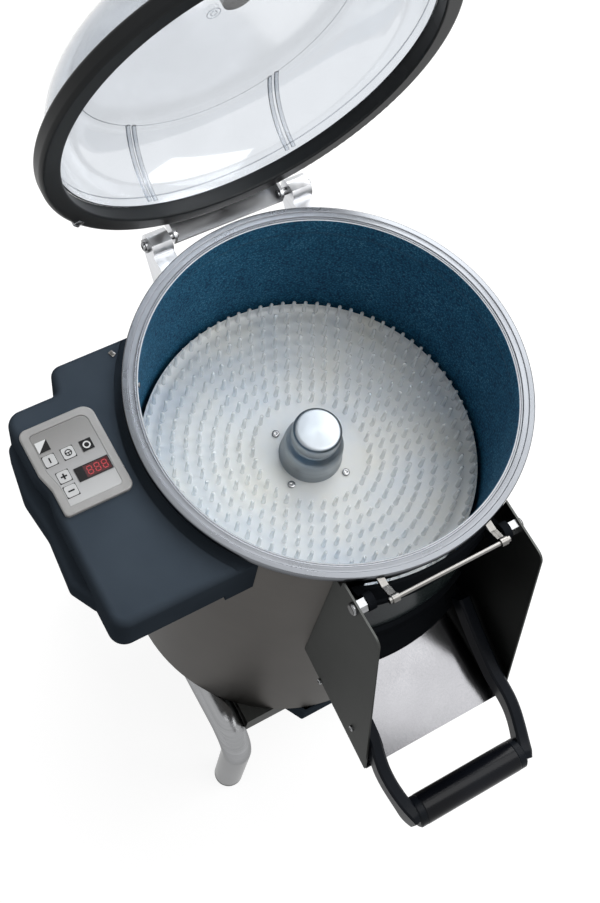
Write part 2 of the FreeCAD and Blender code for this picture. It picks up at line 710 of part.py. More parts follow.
def make_front_bar():
    """The thin bright bar in front of the rim, on two flat strips from the rim's front face."""
    z = RIM_TOP + BAR_RISE
    bar = rod(BAR_R, -BAR_HALF_X, BAR_HALF_X, -BAR_Y, z)
    bar = bar.fuse(rod(BAR_TIP_R, -BAR_HALF_X, -BAR_HALF_X + BAR_TIP_L, -BAR_Y, z))
    PIECES["front_bar"] = bar.fuse(rod(BAR_TIP_R, BAR_HALF_X - BAR_TIP_L, BAR_HALF_X, -BAR_Y, z))
    x0 = -BAR_HALF_X + BAR_TIP_L + RUN_GAP
    x1 = x0 + BAR_STRIP_W
    half = BAR_STRIP_T / 2
    strip = side([
        (-INSIDE_Y, BAR_STRIP_TOP),
        (-INSIDE_Y, BAR_STRIP_TOP - BAR_STRIP_T),
        (-RIM_R, BAR_STRIP_TOP - BAR_STRIP_T),
        (-BAR_Y, z - half),
        (-BAR_Y, z + half),
        (-RIM_R, BAR_STRIP_TOP),
    ], [0] * 6, x0, x1)
    strip = clear_of_drum(strip).fuse(rod(BAR_EYE_R, x0, x1, -BAR_Y, z))
    both("bar_bracket", strip.cut(rod(BAR_R + RUN_GAP, x0, x1, -BAR_Y, z)))


def make_hinge():
    """The two hinge lugs on the back of the drum, each with its pin."""
    low = HINGE_Z - LUG_H
    top = HINGE_Z + LUG_NOSE_R
    nose = HINGE_Y + LUG_NOSE_R
    x0 = -HINGE_X - LUG_T / 2
    x1 = -HINGE_X + LUG_T / 2
    foot_y = math.sqrt(DRUM_R ** 2 - x1 ** 2) + LUG_FOOT
    lug = side([
        (INSIDE_Y, low),
        (INSIDE_Y, top),
        (nose, top),
        (nose, HINGE_Z - LUG_NOSE_R),
        (foot_y, low),
    ], [0, 0, LUG_NOSE_R - RUN_GAP, LUG_NOSE_R - SOFT_EDGE_R, 0], x0, x1)
    lug = clear_of_drum(lug).cut(rod(HINGE_R + HOLE_GAP, x0, x1, HINGE_Y, HINGE_Z))
    ring_y = math.sqrt(LID_RING_R ** 2 - x1 ** 2)
    swept = box(x0, x1, INSIDE_Y, HINGE_Y, LID_LOW - MOVE_GAP, top)
    swept = swept.cut(rod(HINGE_Y - ring_y - MOVE_GAP, x0, x1, HINGE_Y, HINGE_Z))
    both("hinge_lug", lug.cut(swept))
    pin = rod(HINGE_R, x0, -LEAF_HALF_X + LEAF_T + SOFT_EDGE_R, HINGE_Y, HINGE_Z)
    both("hinge_pin", pin.fuse(rod(HINGE_HEAD_R, x0 - HINGE_HEAD_T, x0, HINGE_Y, HINGE_Z)))


def opened(shape):
    """Turns a piece of the lid, drawn closed, to its open rest about the hinge."""
    about = Vector(0, HINGE_Y, HINGE_Z)
    turned_shape = shape.copy()
    turned_shape.rotate(about, Vector(1, 0, 0), -LID_OPEN_DEG)
    return turned_shape


def make_lid():
    """The lid, drawn closed: black ring, clear dome, centre knob, and the bent hinge bracket."""
    low = LID_LOW
    top = LID_RING_TOP
    lip_r = LID_RING_BORE_R - LID_RING_LIP
    seat = top - DOME_FOOT - CURVE_GAP
    ring = turned([
        (lip_r, low),
        (LID_RING_R, low),
        (LID_RING_R, top),
        (LID_RING_BORE_R, top),
        (LID_RING_BORE_R, seat),
        (lip_r, seat),
    ])
    ring = ring.makeFillet(LID_RING_EDGE_R, circles(ring, LID_RING_R, top) + circles(ring, LID_RING_R, low))
    ring = ring.makeFillet(SOFT_EDGE_R, circles(ring, lip_r, low))
    PIECES["lid_ring"] = opened(ring)
    PIECES["lid_dome"] = opened(dome_shell())
    knob_low = RIM_TOP + DOME_H
    knob = post(KNOB_R, knob_low, knob_low + KNOB_H)
    knob = knob.makeFillet(KNOB_EDGE_R, circles(knob, KNOB_R, knob_low + KNOB_H))
    PIECES["lid_knob"] = opened(knob.translated(Vector(KNOB_X, KNOB_Y, 0)))
    PIECES["lid_bracket"] = opened(bracket())


def dome_shell():
    """The clear dome: a flange on the ring, a short wall, a round shoulder and a flat top."""
    foot = LID_RING_TOP - DOME_FOOT
    top = RIM_TOP + DOME_H
    flat_r = DOME_R - DOME_SHOULDER
    wall_top = LID_RING_TOP + DOME_WALL_H
    edges = []
    for inset in (0.0, DOME_T):
        r = DOME_R - inset
        z = top - inset
        out = (r - flat_r) * DOME_BULGE
        rise = (z - wall_top) * DOME_BULGE
        shoulder = Vector(flat_r + out, 0, wall_top + rise)
        edges.append(Part.LineSegment(Vector(r, 0, foot), Vector(r, 0, wall_top)).toShape())
        edges.append(Part.Arc(Vector(r, 0, wall_top), shoulder, Vector(flat_r, 0, z)).toShape())
        edges.append(Part.LineSegment(Vector(flat_r, 0, z), Vector(0, 0, z)).toShape())
    edges.append(Part.LineSegment(Vector(DOME_R - DOME_T, 0, foot), Vector(DOME_R, 0, foot)).toShape())
    edges.append(Part.LineSegment(Vector(0, 0, top - DOME_T), Vector(0, 0, top)).toShape())
    shell = Part.Face(Part.Wire(Part.__sortEdges__(edges))).revolve(Vector(0, 0, 0), UP, 360)
    flange_r = LID_RING_BORE_R + DOME_FLANGE_OUT
    flange = turned([
        (DOME_R - DOME_T / 2, LID_RING_TOP + CURVE_GAP),
        (flange_r, LID_RING_TOP + CURVE_GAP),
        (flange_r, LID_RING_TOP + DOME_T),
        (DOME_R - DOME_T / 2, LID_RING_TOP + DOME_T),
    ])
    return shell.fuse(flange).removeSplitter()


def bracket():
    """The bent leaf that carries the lid's ring between the hinge lugs, with an ear at each end."""
    t = LEAF_T
    top = LID_RING_TOP
    back = HINGE_Y + LEAF_BACK
    lap = LID_RING_R - LEAF_LAP
    low = HINGE_Z - LEAF_LOW
    leaf = side([(lap, top), (lap, top + t), (back, top + t), (back, low), (back - t, low), (back - t, top)],
                [0, 0, LEAF_BEND_R, 0, 0, LEAF_BEND_R - t], -LEAF_HALF_X, LEAF_HALF_X)
    front = HINGE_Y - EAR_FRONT
    for x0 in (-LEAF_HALF_X, LEAF_HALF_X - t):
        corners = [(front, low), (back, low), (back, top + t / 2), (front, top + t / 2)]
        ear = side(corners, [LEAF_LOW, t, 0, 0], x0, x0 + t)
        leaf = leaf.fuse(ear).cut(rod(HINGE_R + RUN_GAP, x0, x0 + t, HINGE_Y, HINGE_Z))
    return leaf.cut(post(LID_RING_R + CURVE_GAP, LID_LOW, top)).removeSplitter()


def make_control_box():
    """The moulded control box: a stepped plan outline, a rounded top, a grip bulge and a gutter."""
    step_x = -RIM_R - BOX_STEP_OUT
    waist_low = BOX_WAIST_Y - BOX_WAIST_L / 2
    outline = [
        (BOX_NEAR_X, BOX_BACK_Y),
        (step_x + BOX_STEP_RUN, BOX_BACK_Y),
        (step_x, BOX_STEP_Y),
        (BOX_OUT_X, BOX_STEP_Y),
        (BOX_OUT_X, BOX_WAIST_Y + BOX_WAIST_L / 2),
        (BOX_OUT_X + BOX_WAIST, BOX_WAIST_Y),
        (BOX_OUT_X + BOX_WAIST / 3, waist_low),
        (BOX_OUT_X, -BOX_FRONT_Y),
        (BOX_NEAR_X, -BOX_FRONT_Y),
    ]
    r = BOX_CORNER_R
    body = plan(outline, [0, r * 0.75, BOX_STEP_RUN, r, r, r, r, r, 0], BOX_LOW, BOX_TOP)
    body = body.makeFillet(BOX_EDGE_R, edges_at(body, BOX_TOP))
    body = body.makeFillet(BOX_LOW_EDGE_R, edges_at(body, BOX_LOW))
    bulge_top = BOX_TOP - BULGE_DROP
    root_x = BOX_OUT_X + BULGE_ROOT
    waist_x = BOX_OUT_X - BULGE_OUT * 0.65
    bulge = plan([
        (root_x, BULGE_BACK_Y),
        (BOX_OUT_X - BOX_WAIST, BULGE_BACK_Y),
        (BOX_OUT_X - BULGE_OUT, BULGE_BACK_Y * 0.45),
        (waist_x, 0.0),
        (BOX_OUT_X - BULGE_OUT, -BULGE_FRONT_Y * 0.65),
        (BOX_OUT_X + BOX_WAIST / 2, -BULGE_FRONT_Y),
        (root_x, -BULGE_FRONT_Y),
    ], [0, BULGE_CORNER_R, BULGE_BEND_R, BULGE_BEND_R, BULGE_CORNER_R, BULGE_CORNER_R, 0], BOX_LOW, bulge_top)
    body = body.fuse(bulge.makeFillet(BULGE_EDGE_R, edges_at(bulge, bulge_top) + edges_at(bulge, BOX_LOW)))
    tab_low = BOX_LOW - BOX_TAB_DROP
    body = body.fuse(box(-BOX_TAB_X, BOX_NEAR_X, -BOX_FRONT_Y, -BOX_FRONT_Y + BOX_TAB_D, tab_low, tab_low + BOX_TAB_H))
    gutter = post(RIM_R + BOX_GUTTER_OUT, BOX_TOP - BOX_GUTTER_D, RIM_TOP)
    PIECES["control_box"] = clear_of_drum(body.cut(gutter)).removeSplitter()


def panel_shape(margin, z0, z1):
    """A plate of the panel's outline, with its wave on the left, drawn in by a margin."""
    left = BOX_OUT_X + PANEL_IN + margin
    right = BOX_OUT_X + PANEL_IN + PANEL_W - margin
    back = PANEL_BACK_Y - margin
    front = -PANEL_FRONT_Y + margin
    points = [
        (left, back),
        (right, back),
        (right, front),
        (left + PANEL_WAVE, front),
        (left + PANEL_WAVE, PANEL_WAVE_Y),
        (left, PANEL_WAVE_Y + PANEL_WAVE_L),
    ]
    r = BEZEL_RIM
    bends = [r, 1.5 * r, r, 0.6 * r, 1.5 * r, 1.5 * r]
    return plan(points, [b - margin / 2 if b > margin / 2 else 0 for b in bends], z0, z1)


def make_panel():
    """The silver bezel on the control box, with its keypad plate, six keys and a display."""
    bezel_top = BOX_TOP + BEZEL_T
    bed = bezel_top - BEZEL_RECESS
    bezel = panel_shape(0, BOX_TOP, bezel_top)
    bezel = bezel.makeFillet(BEZEL_EDGE_R, edges_at(bezel, bezel_top))
    PIECES["panel_bezel"] = bezel.cut(panel_shape(BEZEL_RIM, bed, bezel_top))
    keypad_top = bed + KEYPAD_T
    PIECES["keypad"] = panel_shape(BEZEL_RIM + CURVE_GAP, bed, keypad_top)
    left = BOX_OUT_X + PANEL_IN
    columns = [left + KEY_FIRST_X + i * KEY_PITCH_X for i in range(3)]
    rows = [PANEL_BACK_Y - KEY_FIRST_Y - i * KEY_PITCH_Y for i in range(4)]
    rows[2] -= KEY_GROUP_GAP
    rows[3] -= KEY_GROUP_GAP
    second = columns[0] + PANEL_WAVE
    places = [(columns[0], rows[0])] + [(x, rows[1]) for x in columns] + [(second, rows[2]), (second, rows[3])]
    h = KEY / 2
    keys = []
    for x, y in places:
        square = [(x - h, y - h), (x + h, y - h), (x + h, y + h), (x - h, y + h)]
        keys.append(plan(square, [KEY_R] * 4, keypad_top, keypad_top + KEY_RISE))
    PIECES["panel_keys"] = Part.makeCompound(keys)
    x = left + DISPLAY_X
    y = PANEL_BACK_Y - DISPLAY_Y
    window = [(x, y - DISPLAY_H / 2), (x + DISPLAY_W, y - DISPLAY_H / 2),
              (x + DISPLAY_W, y + DISPLAY_H / 2), (x, y + DISPLAY_H / 2)]
    PIECES["panel_display"] = plan(window, [DISPLAY_R] * 4, keypad_top, keypad_top + KEY_RISE)


def main():
    """Draws every piece, moves the origin under the middle of the machine, and saves the files."""
    make_drum()
    make_rim()
    make_drive()
    make_base()
    make_legs()
    make_chute()
    make_pivot_bolts()
    make_door()
    make_handle()
    make_front_bar()
    make_hinge()
    make_lid()
    make_control_box()
    make_panel()
    whole = Part.makeCompound(list(PIECES.values())).optimalBoundingBox(False, False)
    move = Vector(-(whole.XMin + whole.XMax) / 2, -(whole.YMin + whole.YMax) / 2, 0)
    os.makedirs("parts", exist_ok=True)
    for name, shape in PIECES.items():
        placed = shape.copy()
        placed.Placement = Placement(move, Rotation()).multiply(placed.Placement)
        placed.exportStep("parts/" + name + ".step")
        print(name, "solids", len(placed.Solids), "volume", round(placed.Volume), "valid", placed.isValid())
    print("drum axis", round(move.x, 3), round(move.y, 3))
    print("lid hinge", round(move.y + HINGE_Y, 3), HINGE_Z)
    print("door hinge", round(move.y - PIVOT_Y, 3), PIVOT_Z)
    print("front left foot", round(move.x - LEG_X, 3), round(move.y - LEG_Y, 3))
    print("box", whole)


main()
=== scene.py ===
# %% [markdown]
# # A mussel washer, dressed for a studio picture
#
# The machine is a steel drum on four feet. Mussels go in from above and are tumbled between a
# turning disc with rubbery nubs and a rough blue lining, under a clear lid. A door in the drum's
# front lets them slide down a chute, and a black box with a keypad hangs on the drum's left.
# The solid model already holds every part at its real size. This notebook adds what a solid
# model leaves out: finishes, nubs, screws, key signs, mouldings and light.

# %% Load the machine and note its size
import json
import math

import bmesh
import bpy
from mathutils import Matrix, Vector


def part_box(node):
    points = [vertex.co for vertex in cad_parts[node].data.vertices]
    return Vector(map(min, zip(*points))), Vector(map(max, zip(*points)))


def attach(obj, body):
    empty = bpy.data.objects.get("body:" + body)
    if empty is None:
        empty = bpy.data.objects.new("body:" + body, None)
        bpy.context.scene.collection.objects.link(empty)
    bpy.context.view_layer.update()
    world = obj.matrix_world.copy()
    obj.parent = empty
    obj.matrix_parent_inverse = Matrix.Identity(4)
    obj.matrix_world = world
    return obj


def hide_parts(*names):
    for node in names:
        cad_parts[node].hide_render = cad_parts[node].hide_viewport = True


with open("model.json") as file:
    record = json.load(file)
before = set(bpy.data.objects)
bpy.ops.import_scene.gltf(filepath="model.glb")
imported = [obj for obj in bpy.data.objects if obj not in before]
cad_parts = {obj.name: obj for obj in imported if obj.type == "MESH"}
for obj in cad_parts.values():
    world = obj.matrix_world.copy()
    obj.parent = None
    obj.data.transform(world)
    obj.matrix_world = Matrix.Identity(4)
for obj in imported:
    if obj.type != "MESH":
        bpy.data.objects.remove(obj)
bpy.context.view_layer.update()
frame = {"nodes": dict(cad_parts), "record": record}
MM = 0.001

rim_low, rim_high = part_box("drum_rim")
drum_axis = Vector(((rim_low.x + rim_high.x) / 2, (rim_low.y + rim_high.y) / 2, 0))
rim_top = rim_high.z
rim_radius = (rim_high.x - rim_low.x) / 2
disc_low, disc_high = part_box("wash_disc")
disc_radius = (disc_high.x - disc_low.x) / 2
disc_top = disc_high.z
joints = {joint["name"]: joint for joint in frame["record"]["behaviour"]["joints"]}


def at(x, y, z):
    """A place in millimetres from the drum's axis, with the rim's top as height 0."""
    return drum_axis + Vector((x * MM, y * MM, rim_top + z * MM))


def round_axis(radius, degrees, z):
    """A place in millimetres at a radius and an angle round the drum's axis."""
    turn = math.radians(degrees)
    return at(radius * math.cos(turn), radius * math.sin(turn), z)


print("drum axis", drum_axis, "rim top", rim_top, "rim radius", rim_radius)
print("disc radius", disc_radius, "disc top", disc_top)

# %% [markdown]
# ## Camera
#
# The picture looks steeply down into the drum from the front left, with the camera tilted to
# one side. A camera is easiest to keep honest when it is set as a photographer would: how far
# round the machine it stands, how high it looks from, how far away it is and how much it leans.
# The small shift says that the picture was cropped off centre.

# %% Set the camera
CAMERA_ROUND = math.radians(-47.348)
CAMERA_HEIGHT = math.radians(64.925)
CAMERA_LEAN = math.radians(19.026)
CAMERA_DISTANCE = 1238.2 * MM
AIM_FROM_AXIS = Vector((-53.66, -83.09, 0)) * MM
LENS_MM = 53.234
SHIFT_X = -0.03045
SHIFT_Y = 0.02633


def camera_axes(turn, height, lean):
    """The camera's right, up and backward directions."""
    back = Vector((math.cos(height) * math.sin(turn), -math.cos(height) * math.cos(turn), math.sin(height)))
    level = Vector((math.cos(turn), math.sin(turn), 0))
    upright = back.cross(level)
    right = math.cos(lean) * level + math.sin(lean) * upright
    return right, back.cross(right), back


def set_camera():
    data = bpy.data.cameras.new("studio_camera")
    data.lens = LENS_MM
    data.shift_x = SHIFT_X
    data.shift_y = SHIFT_Y
    camera = bpy.data.objects.new("studio_camera", data)
    bpy.context.scene.collection.objects.link(camera)
    right, up, back = camera_axes(CAMERA_ROUND, CAMERA_HEIGHT, CAMERA_LEAN)
    aim = drum_axis + AIM_FROM_AXIS + Vector((0, 0, rim_top))
    place = Matrix.Translation(aim + CAMERA_DISTANCE * back)
    facing = Matrix((right, up, back)).transposed().to_4x4()
    camera.matrix_world = place @ facing
    bpy.context.scene.camera = camera
    return camera


camera = set_camera()
print("camera stands at", camera.location)

# %% [markdown]
# ## Finishes
#
# Every finish is a small network of nodes on a Principled shader. The helpers below keep each
# one short: one adds a node, one joins two sockets, one lays a pattern out in the piece's own
# millimetres, and one turns a grey pattern into a colour. Stretching a noise pattern a lot in
# one direction gives the fine lines of brushed metal.

# %% Helpers for finishes
finishes = {}


def new_finish(name, **fixed):
    """A finish and its shader, with sockets that are the same all over set at once."""
    finish = bpy.data.materials.new(name)
    finish.use_nodes = True
    shader = finish.node_tree.nodes["Principled BSDF"]
    for socket, value in fixed.items():
        shader.inputs[socket.replace("_", " ")].default_value = value
    finishes[name] = finish
    return finish, shader


def add_node(finish, kind, **settings):
    made = finish.node_tree.nodes.new("ShaderNode" + kind)
    for name, value in settings.items():
        made.inputs[name.replace("_", " ")].default_value = value
    return made


def join(finish, out, into):
    finish.node_tree.links.new(out, into)


def laid_out(finish, stretch=(1, 1, 1), centre=(0, 0, 0)):
    """The piece's own coordinates, moved to a centre and stretched."""
    place = add_node(finish, "TexCoord")
    mapping = add_node(finish, "Mapping", Location=centre, Scale=stretch)
    mapping.vector_type = "TEXTURE" if centre != (0, 0, 0) else "POINT"
    join(finish, place.outputs["Object"], mapping.inputs["Vector"])
    return mapping.outputs["Vector"]


def noise(finish, stretch, scale=1.0, detail=3.0, roughness=0.5):
    made = add_node(finish, "TexNoise", Scale=scale, Detail=detail, Roughness=roughness)
    join(finish, laid_out(finish, stretch), made.inputs["Vector"])
    return made.outputs["Fac"]


def colours(finish, factor, *stops):
    """A grey pattern turned into colours: each stop is (where, colour)."""
    ramp = add_node(finish, "ValToRGB")
    points = ramp.color_ramp.elements
    while len(points) < len(stops):
        points.new(0.5)
    for point, (where, colour) in zip(points, stops):
        point.position = where
        point.color = (*colour, 1) if len(colour) == 3 else colour
    join(finish, factor, ramp.inputs["Fac"])
    return ramp.outputs["Color"]


def spread(finish, factor, low, high):
    """A grey pattern stretched to run from low to high."""
    made = add_node(finish, "MapRange", To_Min=low, To_Max=high)
    join(finish, factor, made.inputs["Value"])
    return made.outputs["Result"]


def bump(finish, shader, height, strength, depth):
    made = add_node(finish, "Bump", Strength=strength, Distance=depth)
    join(finish, height, made.inputs["Height"])
    join(finish, made.outputs["Normal"], shader.inputs["Normal"])
    return made


print("helpers ready")

# %% [markdown]
# ### Stainless steel
#
# The drum, the chute and the small fittings are stainless sheet, ground in one direction. On
# the real sheet the lines are finer than a hair. A noise pattern squeezed to hundreds of
# lines per decimetre across the grind and left long along it drives colour, roughness and a
# trace of bump, and a large soft noise adds the cloudy look of handled steel.

# %% Make the steels


def brushed(name, dark, light, rough, grind, across=2200.0, along=14.0, edge=1.0):
    """Steel ground along one axis: grind is 0, 1 or 2 for x, y or z; None grinds round the drum."""
    finish, shader = new_finish(name, Metallic=1.0, Anisotropic=0.5, Specular_Tint=(edge, edge, edge, 1))
    stretch = [across, across, across]
    if grind is None:
        stretch = [along, along, across]
    else:
        stretch[grind] = along
    lines = noise(finish, stretch, detail=2.0)
    clouds = noise(finish, (9, 9, 9), detail=4.0, roughness=0.6)
    both = add_node(finish, "Mix")
    both.data_type = "FLOAT"
    both.inputs["Factor"].default_value = 0.45
    join(finish, lines, both.inputs["A"])
    join(finish, clouds, both.inputs["B"])
    tone = both.outputs["Result"]
    join(finish, colours(finish, tone, (0.3, dark), (0.7, light)), shader.inputs["Base Color"])
    join(finish, spread(finish, tone, rough - 0.07, rough + 0.09), shader.inputs["Roughness"])
    bump(finish, shader, lines, 0.05, 0.0002)
    return finish


brushed("drum_steel", (0.08, 0.076, 0.072), (0.12, 0.114, 0.107), 0.36, None, edge=0.5)
# The chute's cheeks and floor are one steel in two copies: the floor's lighter copy carries painted light and the
# cheeks' darker one painted shade.
brushed("chute_steel", (0.05, 0.052, 0.05), (0.075, 0.078, 0.075), 0.42, 1, edge=0.5)
brushed("chute_floor_painted_lit", (0.13, 0.13, 0.137), (0.2, 0.2, 0.208), 0.14, 1)
brushed("polished_steel", (0.26, 0.265, 0.27), (0.36, 0.365, 0.375), 0.24, None, across=900, edge=0.6)
brushed("bar_steel", (0.16, 0.155, 0.15), (0.22, 0.215, 0.205), 0.24, 0, across=2600, edge=0.6)
brushed("hub_steel", (0.3, 0.325, 0.35), (0.44, 0.475, 0.505), 0.4, None, across=1100)
brushed("rim_aluminium", (0.14, 0.147, 0.16), (0.19, 0.2, 0.215), 0.27, None, across=1500, edge=0.4)
brushed("dark_steel", (0.04, 0.04, 0.04), (0.07, 0.07, 0.07), 0.4, None)
brushed("cast_metal", (0.55, 0.56, 0.58), (0.72, 0.73, 0.75), 0.32, None, across=300)
print("steels", [name for name in finishes])

# %% [markdown]
# ### Grit, mouldings, film and glass
#
# The lining is coarse abrasive cloth: a cell pattern makes grains of slightly different blue.
# The disc is milky plastic that lets a little light through. The black mouldings have a fine
# leather grain. The lid is clear plastic: light that only casts shadow is let straight through,
# as a thin clear wall does on the real lid.

# %% Make the other finishes


def make_abrasive():
    finish, shader = new_finish("abrasive", Roughness=0.82, Specular_IOR_Level=0.25)
    grains = add_node(finish, "TexVoronoi", Scale=1.0)
    join(finish, laid_out(finish, (430, 430, 430)), grains.inputs["Vector"])
    patches = noise(finish, (30, 30, 30), detail=5.0)
    mixed = add_node(finish, "Mix")
    mixed.data_type = "FLOAT"
    mixed.inputs["Factor"].default_value = 0.3
    join(finish, grains.outputs["Distance"], mixed.inputs["A"])
    join(finish, patches, mixed.inputs["B"])
    stops = ((0.08, (0.13, 0.31, 0.41)), (0.38, (0.012, 0.115, 0.215)), (0.75, (0.004, 0.04, 0.088)))
    join(finish, colours(finish, mixed.outputs["Result"], *stops), shader.inputs["Base Color"])
    bump(finish, shader, grains.outputs["Distance"], 0.5, 0.0006)


def let_light_through(finish, shader, share, tint=(1, 1, 1), always=0.0):
    """Lets a share of the light that would only cast a shadow pass, and always a smaller share."""
    see_through = add_node(finish, "BsdfTransparent", Color=(*tint, 1))
    ray = add_node(finish, "LightPath")
    part = add_node(finish, "MapRange", To_Min=always, To_Max=share)
    mixed = add_node(finish, "MixShader")
    join(finish, ray.outputs["Is Shadow Ray"], part.inputs["Value"])
    join(finish, part.outputs["Result"], mixed.inputs["Fac"])
    join(finish, shader.outputs["BSDF"], mixed.inputs[1])
    join(finish, see_through.outputs["BSDF"], mixed.inputs[2])
    join(finish, mixed.outputs["Shader"], finish.node_tree.nodes["Material Output"].inputs["Surface"])


def make_milky(name, rough, shade=1.0, faint_shadow=0.0):
    """Milky soft plastic; thin parts of it, as the nubs, cast only a faint shadow."""
    soft = 0.5 + faint_shadow / 2
    finish, shader = new_finish(name, Roughness=rough, Subsurface_Weight=soft, Subsurface_Scale=0.006)
    shader.inputs["Subsurface Radius"].default_value = (1.0, 0.95, 0.9)
    stains = noise(finish, (9, 9, 9), detail=5.0, roughness=0.6)
    tones = ((0.3, (0.66, 0.655, 0.61)), (0.5, (0.64, 0.66, 0.665)), (0.7, (0.55, 0.6, 0.655)))
    stops = [(where, tuple(shade * part for part in tone)) for where, tone in tones]
    join(finish, colours(finish, stains, *stops), shader.inputs["Base Color"])
    if faint_shadow:
        let_light_through(finish, shader, faint_shadow, always=0.55 * faint_shadow)


def make_moulding(name, dark, light, rough, grain, shine=0.5):
    finish, shader = new_finish(name, Specular_IOR_Level=shine, IOR=1.5 if shine > 0.05 else 1.02)
    speckle = noise(finish, (1900, 1900, 1900), detail=2.0)
    clouds = noise(finish, (14, 14, 14), detail=3.0)
    join(finish, colours(finish, clouds, (0.3, dark), (0.7, light)), shader.inputs["Base Color"])
    join(finish, spread(finish, clouds, rough - 0.05, rough + 0.06), shader.inputs["Roughness"])
    bump(finish, shader, speckle, grain, 0.0003)


def make_film(name, colour, rough=0.3, shine=0.5):
    finish, shader = new_finish(name, Specular_IOR_Level=shine, Coat_Weight=shine / 2, Coat_Roughness=0.15)
    clouds = noise(finish, (60, 60, 60), detail=2.0)
    darker = tuple(0.9 * part for part in colour)
    join(finish, colours(finish, clouds, (0.3, darker), (0.7, colour)), shader.inputs["Base Color"])
    join(finish, spread(finish, clouds, rough - 0.04, rough + 0.04), shader.inputs["Roughness"])


def make_keypad_film_painted_shade():
    """Keypad film in grey that pales from the back to nearly white at the front; this gradient is painted shading.
    """
    finish, shader = new_finish("keypad_film", Roughness=0.34, Coat_Weight=0.2, Coat_Roughness=0.2)
    low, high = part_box("keypad")
    place = laid_out(finish, (1, (high.y - low.y), 1), (0, low.y, 0))
    apart = add_node(finish, "SeparateXYZ")
    join(finish, place, apart.inputs["Vector"])
    stops = ((0.0, (0.44, 0.44, 0.44)), (0.35, (0.34, 0.34, 0.342)),
             (0.75, (0.235, 0.23, 0.225)), (1.0, (0.19, 0.185, 0.18)))
    join(finish, colours(finish, apart.outputs["Y"], *stops), shader.inputs["Base Color"])


def make_light(name, base, glow, strength):
    finish, shader = new_finish(name, Roughness=0.12, Emission_Strength=strength)
    clouds = noise(finish, (90, 90, 90), detail=1.0)
    darker = tuple(0.6 * part for part in base)
    join(finish, colours(finish, clouds, (0.3, darker), (0.7, base)), shader.inputs["Base Color"])
    shader.inputs["Emission Color"].default_value = (*glow, 1)


def make_clear(name, colour, rough=0.04):
    """Clear or misty plastic: light that would only cast a shadow passes through."""
    finish, shader = new_finish(name, Transmission_Weight=1.0, IOR=1.45,
                                Coat_Weight=0.6, Coat_Roughness=0.12, Coat_IOR=1.6)
    scuffs = noise(finish, (25, 25, 25), detail=4.0)
    tint = tuple(0.97 * part for part in colour)
    join(finish, colours(finish, scuffs, (0.35, tint), (0.65, colour)), shader.inputs["Base Color"])
    join(finish, spread(finish, scuffs, rough, rough + 0.05), shader.inputs["Roughness"])
    let_light_through(finish, shader, 1.0, (0.9, 0.93, 0.95))


make_abrasive()
make_milky("disc_white", 0.3, shade=1.05)
# The nubs are the disc's milky plastic; their brighter base is painted light on sides that the lamps don't reach.
make_milky("nub_white_painted_light", 0.4, shade=1.42, faint_shadow=0.8)
make_moulding("black_moulding", (0.037, 0.048, 0.062), (0.046, 0.059, 0.075), 0.5, 0.3, shine=0.02)
# The door panel and sill wear a darker copy of the black moulding: the extra darkness is painted shade on faces
# turned away from the lamps.
make_moulding("door_black_painted_shade", (0.008, 0.009, 0.011), (0.013, 0.015, 0.018), 0.45, 0.1, shine=0.04)
make_moulding("ring_black", (0.004, 0.005, 0.006), (0.007, 0.008, 0.009), 0.38, 0.1, shine=0.2)
make_moulding("handle_black", (0.005, 0.0065, 0.009), (0.009, 0.011, 0.015), 0.34, 0.08, shine=0.08)
make_moulding("grip_black", (0.003, 0.0035, 0.005), (0.005, 0.006, 0.009), 0.22, 0.05, shine=0.14)
make_moulding("foot_rubber", (0.24, 0.245, 0.25), (0.33, 0.335, 0.34), 0.7, 0.3)
make_moulding("motor_grey", (0.2, 0.21, 0.22), (0.28, 0.29, 0.3), 0.5, 0.2)
# The door's clear pane is drawn opaque: over its own greenish tint, its dark teal is painted reflection and the
# painted shade of the dark drum behind it.
make_moulding("door_pane", (0.022, 0.032, 0.033), (0.04, 0.053, 0.054), 0.2, 0.02, shine=0.4)
make_film("bezel_silver", (0.31, 0.305, 0.3))
make_keypad_film_painted_shade()
make_film("key_film", (0.5, 0.5, 0.5))
make_film("sign_black", (0.008, 0.008, 0.009), shine=0.2)
make_film("sign_white", (0.66, 0.66, 0.66))
make_film("raw_edge", (0.5, 0.52, 0.55))
make_light("display_red", (0.035, 0.014, 0.015), (0.2, 0.02, 0.025), 0.22)
make_light("digit_red", (0.3, 0.03, 0.04), (0.55, 0.04, 0.05), 0.45)
make_clear("clear_lid", (0.69, 0.72, 0.76))
make_clear("clear_edge", (0.74, 0.76, 0.79), rough=0.16)
print("finishes", len(finishes))

# %% [markdown]
# ## Giving the solid pieces their finishes
#
# The model's record says which finish each piece has, so one loop dresses all of them.

# %% Dress the solid pieces
special = {
    "chute_floor": "chute_floor_painted_lit",
    "hub_cap": "hub_steel",
    "lid_ring": "ring_black",
    "lid_bracket": "cast_metal",
    "left_hinge_lug": "cast_metal",
    "right_hinge_lug": "cast_metal",
    "handle_grip": "grip_black",
    "door_panel": "door_black_painted_shade",
    "discharge_sill": "door_black_painted_shade",
    "front_bar": "bar_steel",
    "left_bar_bracket": "bar_steel",
    "right_bar_bracket": "bar_steel",
}
for part in frame["record"]["subparts"]:
    for holder in frame["nodes"][part["node"]].material_slots:
        holder.material = finishes[special.get(part["node"], part["material_slot"])]

# %% [markdown]
# ## Making new pieces
#
# A new piece starts as a bmesh, which holds its corners and faces while operators work on it.
# When it is done, it becomes a mesh with smooth faces and sharp edges, gets a finish and is
# told which moving body it rides on.

# %% Helper for new pieces


